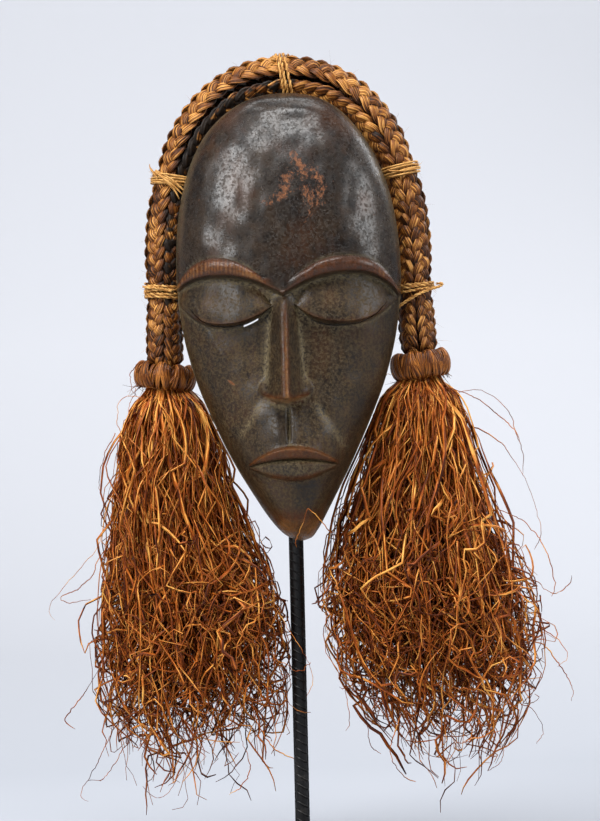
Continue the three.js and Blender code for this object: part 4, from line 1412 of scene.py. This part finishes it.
def hanging_fibres(collar, bell):
    """Fibres that leave the collar together, hang within the bell, and kink and curl lower down."""
    count = FIBRES
    spread = np.sqrt(draw.uniform(0.02, 1, count))
    turn = draw.uniform(0, 2 * math.pi, count)
    home = np.stack([spread * np.cos(turn), spread * np.sin(turn)], 1)
    turned = turn - 0.45 + draw.normal(0, 0.8, count) * np.where(draw.random(count) < 0.35, 2.0, 1)
    later = np.stack([spread * np.cos(turned), spread * np.sin(turned)], 1)
    length = draw.triangular(*FIBRE_LENGTH, count)
    reach = draw.triangular(0.88, 0.98, 1.12, count) + 0.22 * (draw.random(count) < 0.06)
    neck = NECK * home
    top = np.full(count, collar[1] + 2.0)
    spots = np.stack([collar[0] + neck[:, 0], BACK + BAND_DEPTH + neck[:, 1], top], 1)
    heading = np.tile([0.0, 0.0, -1.0], (count, 1))
    kink = np.zeros((count, 3))
    curl_axis = unit(draw.normal(0, 1, (count, 3)))
    curl = np.where(draw.random(count) < 0.7, draw.uniform(0.3, 1.2, count), 0)
    path = [spots]
    for step in range(1, FIBRE_STEPS):
        share = step / (FIBRE_STEPS - 1)
        loose = ramp(0.3, 0.85, share)
        stride = np.interp(share, *FIBRE_STRIDE) * length
        place = home + (later - home) * ramp(0.04, 0.4, share)
        centre, half, deep = bell_at(bell, spots[:, 2] - stride)
        aim = np.stack([centre + place[:, 0] * half, BACK + BAND_DEPTH + place[:, 1] * deep], 1)
        sideways = (aim - spots[:, :2]) * (0.62 - 0.37 * ramp(0.1, 0.3, share))
        pull = unit(np.concatenate([sideways, -stride[:, None]], 1))
        bends = draw.random(count) < 0.3 + 0.3 * loose
        fresh = draw.normal(0, 0.5 + 0.42 * loose, (count, 3)) * (1, 1, 0.55 + 0.45 * loose)
        kink = np.where(bends[:, None], fresh, 0.9 * kink)
        around = np.cross(curl_axis, heading) * (curl * ramp(0.6, 0.9, share))[:, None]
        keep = 0.3 + 0.7 * ramp(0.55, 0.85, share)
        heading = unit(keep * heading + (1.25 - 0.5 * loose) * pull + kink + around)
        spots = kept_clear(held_in(spots + heading * stride[:, None], bell, reach))
        path.append(spots)
    return np.stack(path, 1), spread


def fibre_sweep(paths, wide, ribbons):
    """Flat fibres along their paths, of which a share are broad ribbons."""
    count, steps, _ = paths.shape
    ribbon = draw.random((count, 1)) < ribbons
    broad = draw.uniform(*wide, (count, 1)) + ribbon * draw.uniform(0.5, 1.2, (count, 1))
    uneven = 1 + 0.25 * np.sin(np.linspace(0, 5, steps) + draw.uniform(0, 6, (count, 1)))
    broad = broad * np.linspace(1.12, 0.78, steps) * uneven
    broad[:, -3:] *= np.array([0.9, 0.7, 0.35])
    first = unit(draw.normal(0, 1, (count, 1, 3)) * (1, 1, 0.2))
    second = np.stack([-first[..., 1], first[..., 0], first[..., 2]], -1)
    twist = draw.uniform(0, 6.3, (count, 1, 1))
    twist = twist + draw.normal(0, 2.2, (count, 1, 1)) * np.linspace(0, 1, steps)[None, :, None]
    facing = np.cos(twist) * first + np.sin(twist) * second
    thick = np.minimum(0.25 + 0.16 * broad, 0.45)
    return sweep_strands(paths, broad, thick, unit(facing), section_of(3)), ribbon


# Fibres that have sprung out of the bells, each by the places that it passes: across, forward, up
STRAYS = {
    "left": (
        ((-86, -6, 303.5), (-92, -8, 301), (-95.5, -9, 296), (-95, -9, 291), (-92.5, -8, 287),
         (-90, -6, 282)),
        ((-91, -7, 288), (-96, -8, 280), (-97.5, -9, 271), (-95, -8, 261), (-98, -8, 252)),
        ((-104, 6, 250), (-112, 8, 215), (-113, 9, 196), (-126, 8, 182), (-138, 7, 170), (-149, 8, 157),
         (-143, 9, 153)),
        ((-108, -8, 200), (-116, -10, 182), (-128, -12, 172), (-138, -12, 168), (-131, -11, 164),
         (-120, -10, 166)),
        ((-110, 12, 140), (-122, 14, 118), (-133, 15, 99), (-141, 15, 93), (-133, 15, 88)),
        ((-104, -10, 110), (-113, -12, 86), (-122, -14, 66), (-130, -14, 53), (-124, -13, 49)),
        ((-96, 8, 96), (-104, 9, 72), (-117, 10, 56), (-126, 10, 58)),
        ((-60, -16, 100), (-66, -18, 76), (-74, -20, 58), (-84, -20, 50), (-92, -19, 58)),
        ((-104, 0, 262), (-112, 2, 246), (-114, 3, 226), (-107, 4, 214), (-100, 4, 222)),
        ((-84, -24, 282), (-99, -25, 283), (-104, -24, 270), (-98, -23, 252), (-92, -24, 240)),
        ((-30, -18, 110), (-22, -22, 88), (-12, -23, 76), (-4, -22, 72)),
        ((-14, -26, 160), (-4, -27, 143), (4, -27, 132), (9, -26, 118), (4, -26, 108)),
        ((-20, -27, 132), (-8, -29, 128), (2, -28, 121), (7, -27, 128)),
        ((-36, -20, 92), (-28, -21, 70), (-33, -21, 56), (-42, -20, 52)),
    ),
    "right": (
        ((46.8, -8, 290.3), (50, -9.5, 291.8), (54, -9, 292.2), (59, -8, 293)),
        ((88, -10, 284), (104, -12, 281), (118, -12, 270), (127, -11, 262), (131, -10, 252)),
        ((92, -4, 279), (110, -5, 284), (128, -5, 268), (135, -5, 246), (133, -4, 232)),
        ((104, 6, 262), (121, 7, 254), (134, 8, 236), (142, 8, 214), (146, 8, 195), (140, 8, 188)),
        ((118, -14, 214), (134, -16, 206), (146, -17, 190), (151, -18, 172), (147, -18, 162)),
        ((126, 10, 176), (141, 12, 168), (152, 13, 158), (160, 13, 166), (162, 13, 172)),
        ((128, -12, 150), (142, -14, 144), (152, -15, 136), (156, -15, 126), (150, -15, 121)),
        ((130, 12, 134), (146, 13, 130), (157, 12, 112), (162, 12, 104), (160, 12, 98)),
        ((118, -8, 104), (134, -10, 97), (142, -11, 84), (137, -11, 76)),
        ((108, 10, 96), (122, 12, 74), (118, 12, 62), (110, 11, 58)),
        ((34, -22, 146), (24, -25, 126), (28, -26, 104), (30, -27, 92), (26, -27, 88)),
        ((58, -20, 96), (50, -22, 76), (56, -22, 62), (66, -21, 57)),
        ((21, -40, 203), (16.5, -45, 208), (5.4, -48, 217.5), (4.8, -48.4, 218), (4.4, -48, 217.4),
         (-0.6, -45, 199.5), (-1.3, -43, 197.4), (0.4, -41, 195)),
        ((46, 6, 110), (38, 8, 92), (41, 9, 74), (47, 9, 70)),
    ),
}


def stray_paths(side):
    paths = []
    for places in STRAYS[side]:
        curve = rounded(places)
        along = read_along(curve, np.arange(len(curve)), np.linspace(0, len(curve) - 1, FIBRE_STEPS))
        crimp = np.cumsum(draw.normal(0, 0.35, (FIBRE_STEPS, 3)), 0)
        paths.append(along + crimp - np.linspace(0, 1, FIBRE_STEPS)[:, None] * crimp[-1])
    return np.array(paths)


RAFFIA = ((0.0, (62, 22, 3)), (0.35, (132, 60, 12)), (0.65, (184, 98, 27)), (1.0, (236, 174, 86)))
red_raffia = fibre_finish("loose raffia", RAFFIA, 1900, 45, gloss=0.46, relief=0.0001)
for side, bell in BELLS.items():
    for layer in range(LAYERS):
        paths, spread = hanging_fibres(COLLARS[side]["at"], bell)
        down = np.linspace(0, 1, FIBRE_STEPS)[None]
        body, ribbon = fibre_sweep(paths, FIBRE_WIDE, RIBBONS)
        # Painted light and shade: fibres are lighter towards the top and the broad ribbons lighter still,
        # as highlights, and fibres nearer the middle of the bell are darker, as shade inside it.
        tones_and_painted_light = draw.uniform(0.06, 0.66, (FIBRES, 1)) + (0.05 + 0.14 * ribbon) * (1.3 - 1.0 * down)
        tones_and_painted_light = tones_and_painted_light - 0.2 * (1 - spread[:, None])
        tones_and_painted_light = tones_and_painted_light + 0.1 * np.sin(9 * down + draw.uniform(0, 6, (FIBRES, 1)))
        parts = [(body, {"tone_and_painted_light": tones_and_painted_light})]
        if layer == 0:
            loose = stray_paths(side)
            sprung, _ = fibre_sweep(loose, STRAY_WIDE, 0)
            parts.append((sprung, {"tone_and_painted_light": draw.uniform(0.2, 0.6, len(loose))}))
        piece = strands_piece(f"tassel_{side}_{layer + 1}", parts)
        fix(piece, red_raffia, "tassel_" + side)


# The studio: a pale floor that sweeps up into a pale backdrop, soft lights at both sides and
# above, and a level camera in front of the face, rolled a little so that the bar leans.
CAMERA_AT = (4.1, -1614.6, 273)
CAMERA_ROLL = math.radians(1.35)
FOCAL_PIXELS = 2759
PICTURE_TALL = 821
SENSOR = 36
SWEEP_WIDE = 9000
SWEEP_FRONT = -1600
SWEEP_BEND_AT = 1500
SWEEP_RADIUS = 1800
SWEEP_TOP = 6000
PAPER = (229, 231, 237)
PAPER_NEAR_SHADED = (173, 177, 185)
PAPER_GRADED = (0.5, 2.6)
ROOM = (232, 238, 250)
ROOM_LIGHT = 0.16
FAR_WALL = (206, 211, 221)
# Each light: where it is and what it faces in metres, its width, its height and its watts
LIGHTS = {
    "left box": ((-1.16, -1.1, 1.15), (0, 0, 0.3), 1.0, 0.8, 35),
    "right box": ((1.45, -0.55, 0.86), (0, 0, 0.3), 0.7, 0.7, 13),
    "top box": ((0.0, -0.9, 2.0), (0, 0, 0.25), 1.3, 0.6, 36),
    "paper light": ((0.0, 0.9, 3.2), (0, 2.6, 0.6), 3.0, 1.2, 50),
    "back box": ((1.5, 1.5, 1.5), (0, 0, 0.3), 1.2, 0.8, 16),
}

nothing_selected()
bpy.ops.mesh.primitive_plane_add(size=1, location=(0, (SWEEP_FRONT + SWEEP_BEND_AT) / 2 * MM, 0))
bpy.ops.transform.resize(value=(SWEEP_WIDE * MM, (SWEEP_BEND_AT - SWEEP_FRONT) * MM, 1))
sweep = named("studio_sweep")


def at_the_back(edge):
    return min(sweep.data.vertices[v].co.y for v in edge.vertices) > (SWEEP_BEND_AT - 1) * MM


select(sweep, "EDGE", sweep.data.edges, at_the_back)
bpy.ops.mesh.spin(steps=32, angle=math.radians(-90), axis=(1, 0, 0),
                  center=(0, SWEEP_BEND_AT * MM, SWEEP_RADIUS * MM))
bpy.ops.mesh.extrude_region_move(
    TRANSFORM_OT_translate={"value": (0, 0, (SWEEP_TOP - SWEEP_RADIUS) * MM)})
bpy.ops.mesh.select_all(action="SELECT")
bpy.ops.mesh.normals_make_consistent(inside=True)
bpy.ops.object.mode_set(mode="OBJECT")
bpy.ops.object.shade_smooth()
paper, tree, shader, where = new_finish("paper")
deep_in = wire(tree, "SeparateXYZ", {0: where}).outputs["Y"]
# Painted shade: the paper is darker in front and up to half a metre behind the mask, and pales to its full
# colour 2.6 m back.
shade = mixed(tree, between(tree, deep_in, *PAPER_GRADED), linear(PAPER_NEAR_SHADED), linear(PAPER))
feed(shader, {"Base Color": shade, "Roughness": 0.9})
sweep.data.materials.append(paper)

for name, (at, towards, wide, tall, power) in LIGHTS.items():
    data = bpy.data.lights.new(name, "AREA")
    data.shape = "RECTANGLE"
    data.size, data.size_y = wide, tall
    data.energy = power
    lamp = bpy.data.objects.new(name, data)
    bpy.context.scene.collection.objects.link(lamp)
    lamp.location = at
    lamp.rotation_mode = "QUATERNION"
    lamp.rotation_quaternion = (lamp.location - Vector(towards)).to_track_quat("Z", "Y")

world = bpy.data.worlds.new("room")
world.use_nodes = True
tree = world.node_tree
room_light = tree.nodes["Background"]
feed(room_light, {"Color": linear(ROOM), "Strength": ROOM_LIGHT})
far_wall = wire(tree, "Background", {"Color": linear(FAR_WALL)})
seen = wire(tree, "LightPath", {}).outputs["Is Camera Ray"]
either = wire(tree, "MixShader", {0: seen, 1: room_light.outputs[0], 2: far_wall.outputs[0]})
feed(tree.nodes["World Output"], {"Surface": either.outputs[0]})
bpy.context.scene.world = world
bpy.context.scene.view_settings.view_transform = "Standard"

camera_data = bpy.data.cameras.new("camera")
camera_data.sensor_width = SENSOR
camera_data.lens = FOCAL_PIXELS / PICTURE_TALL * SENSOR
camera = bpy.data.objects.new("camera", camera_data)
bpy.context.scene.collection.objects.link(camera)
bpy.context.scene.camera = camera
camera.location = [place * MM for place in CAMERA_AT]
camera.rotation_euler = (math.pi / 2, CAMERA_ROLL, 0)
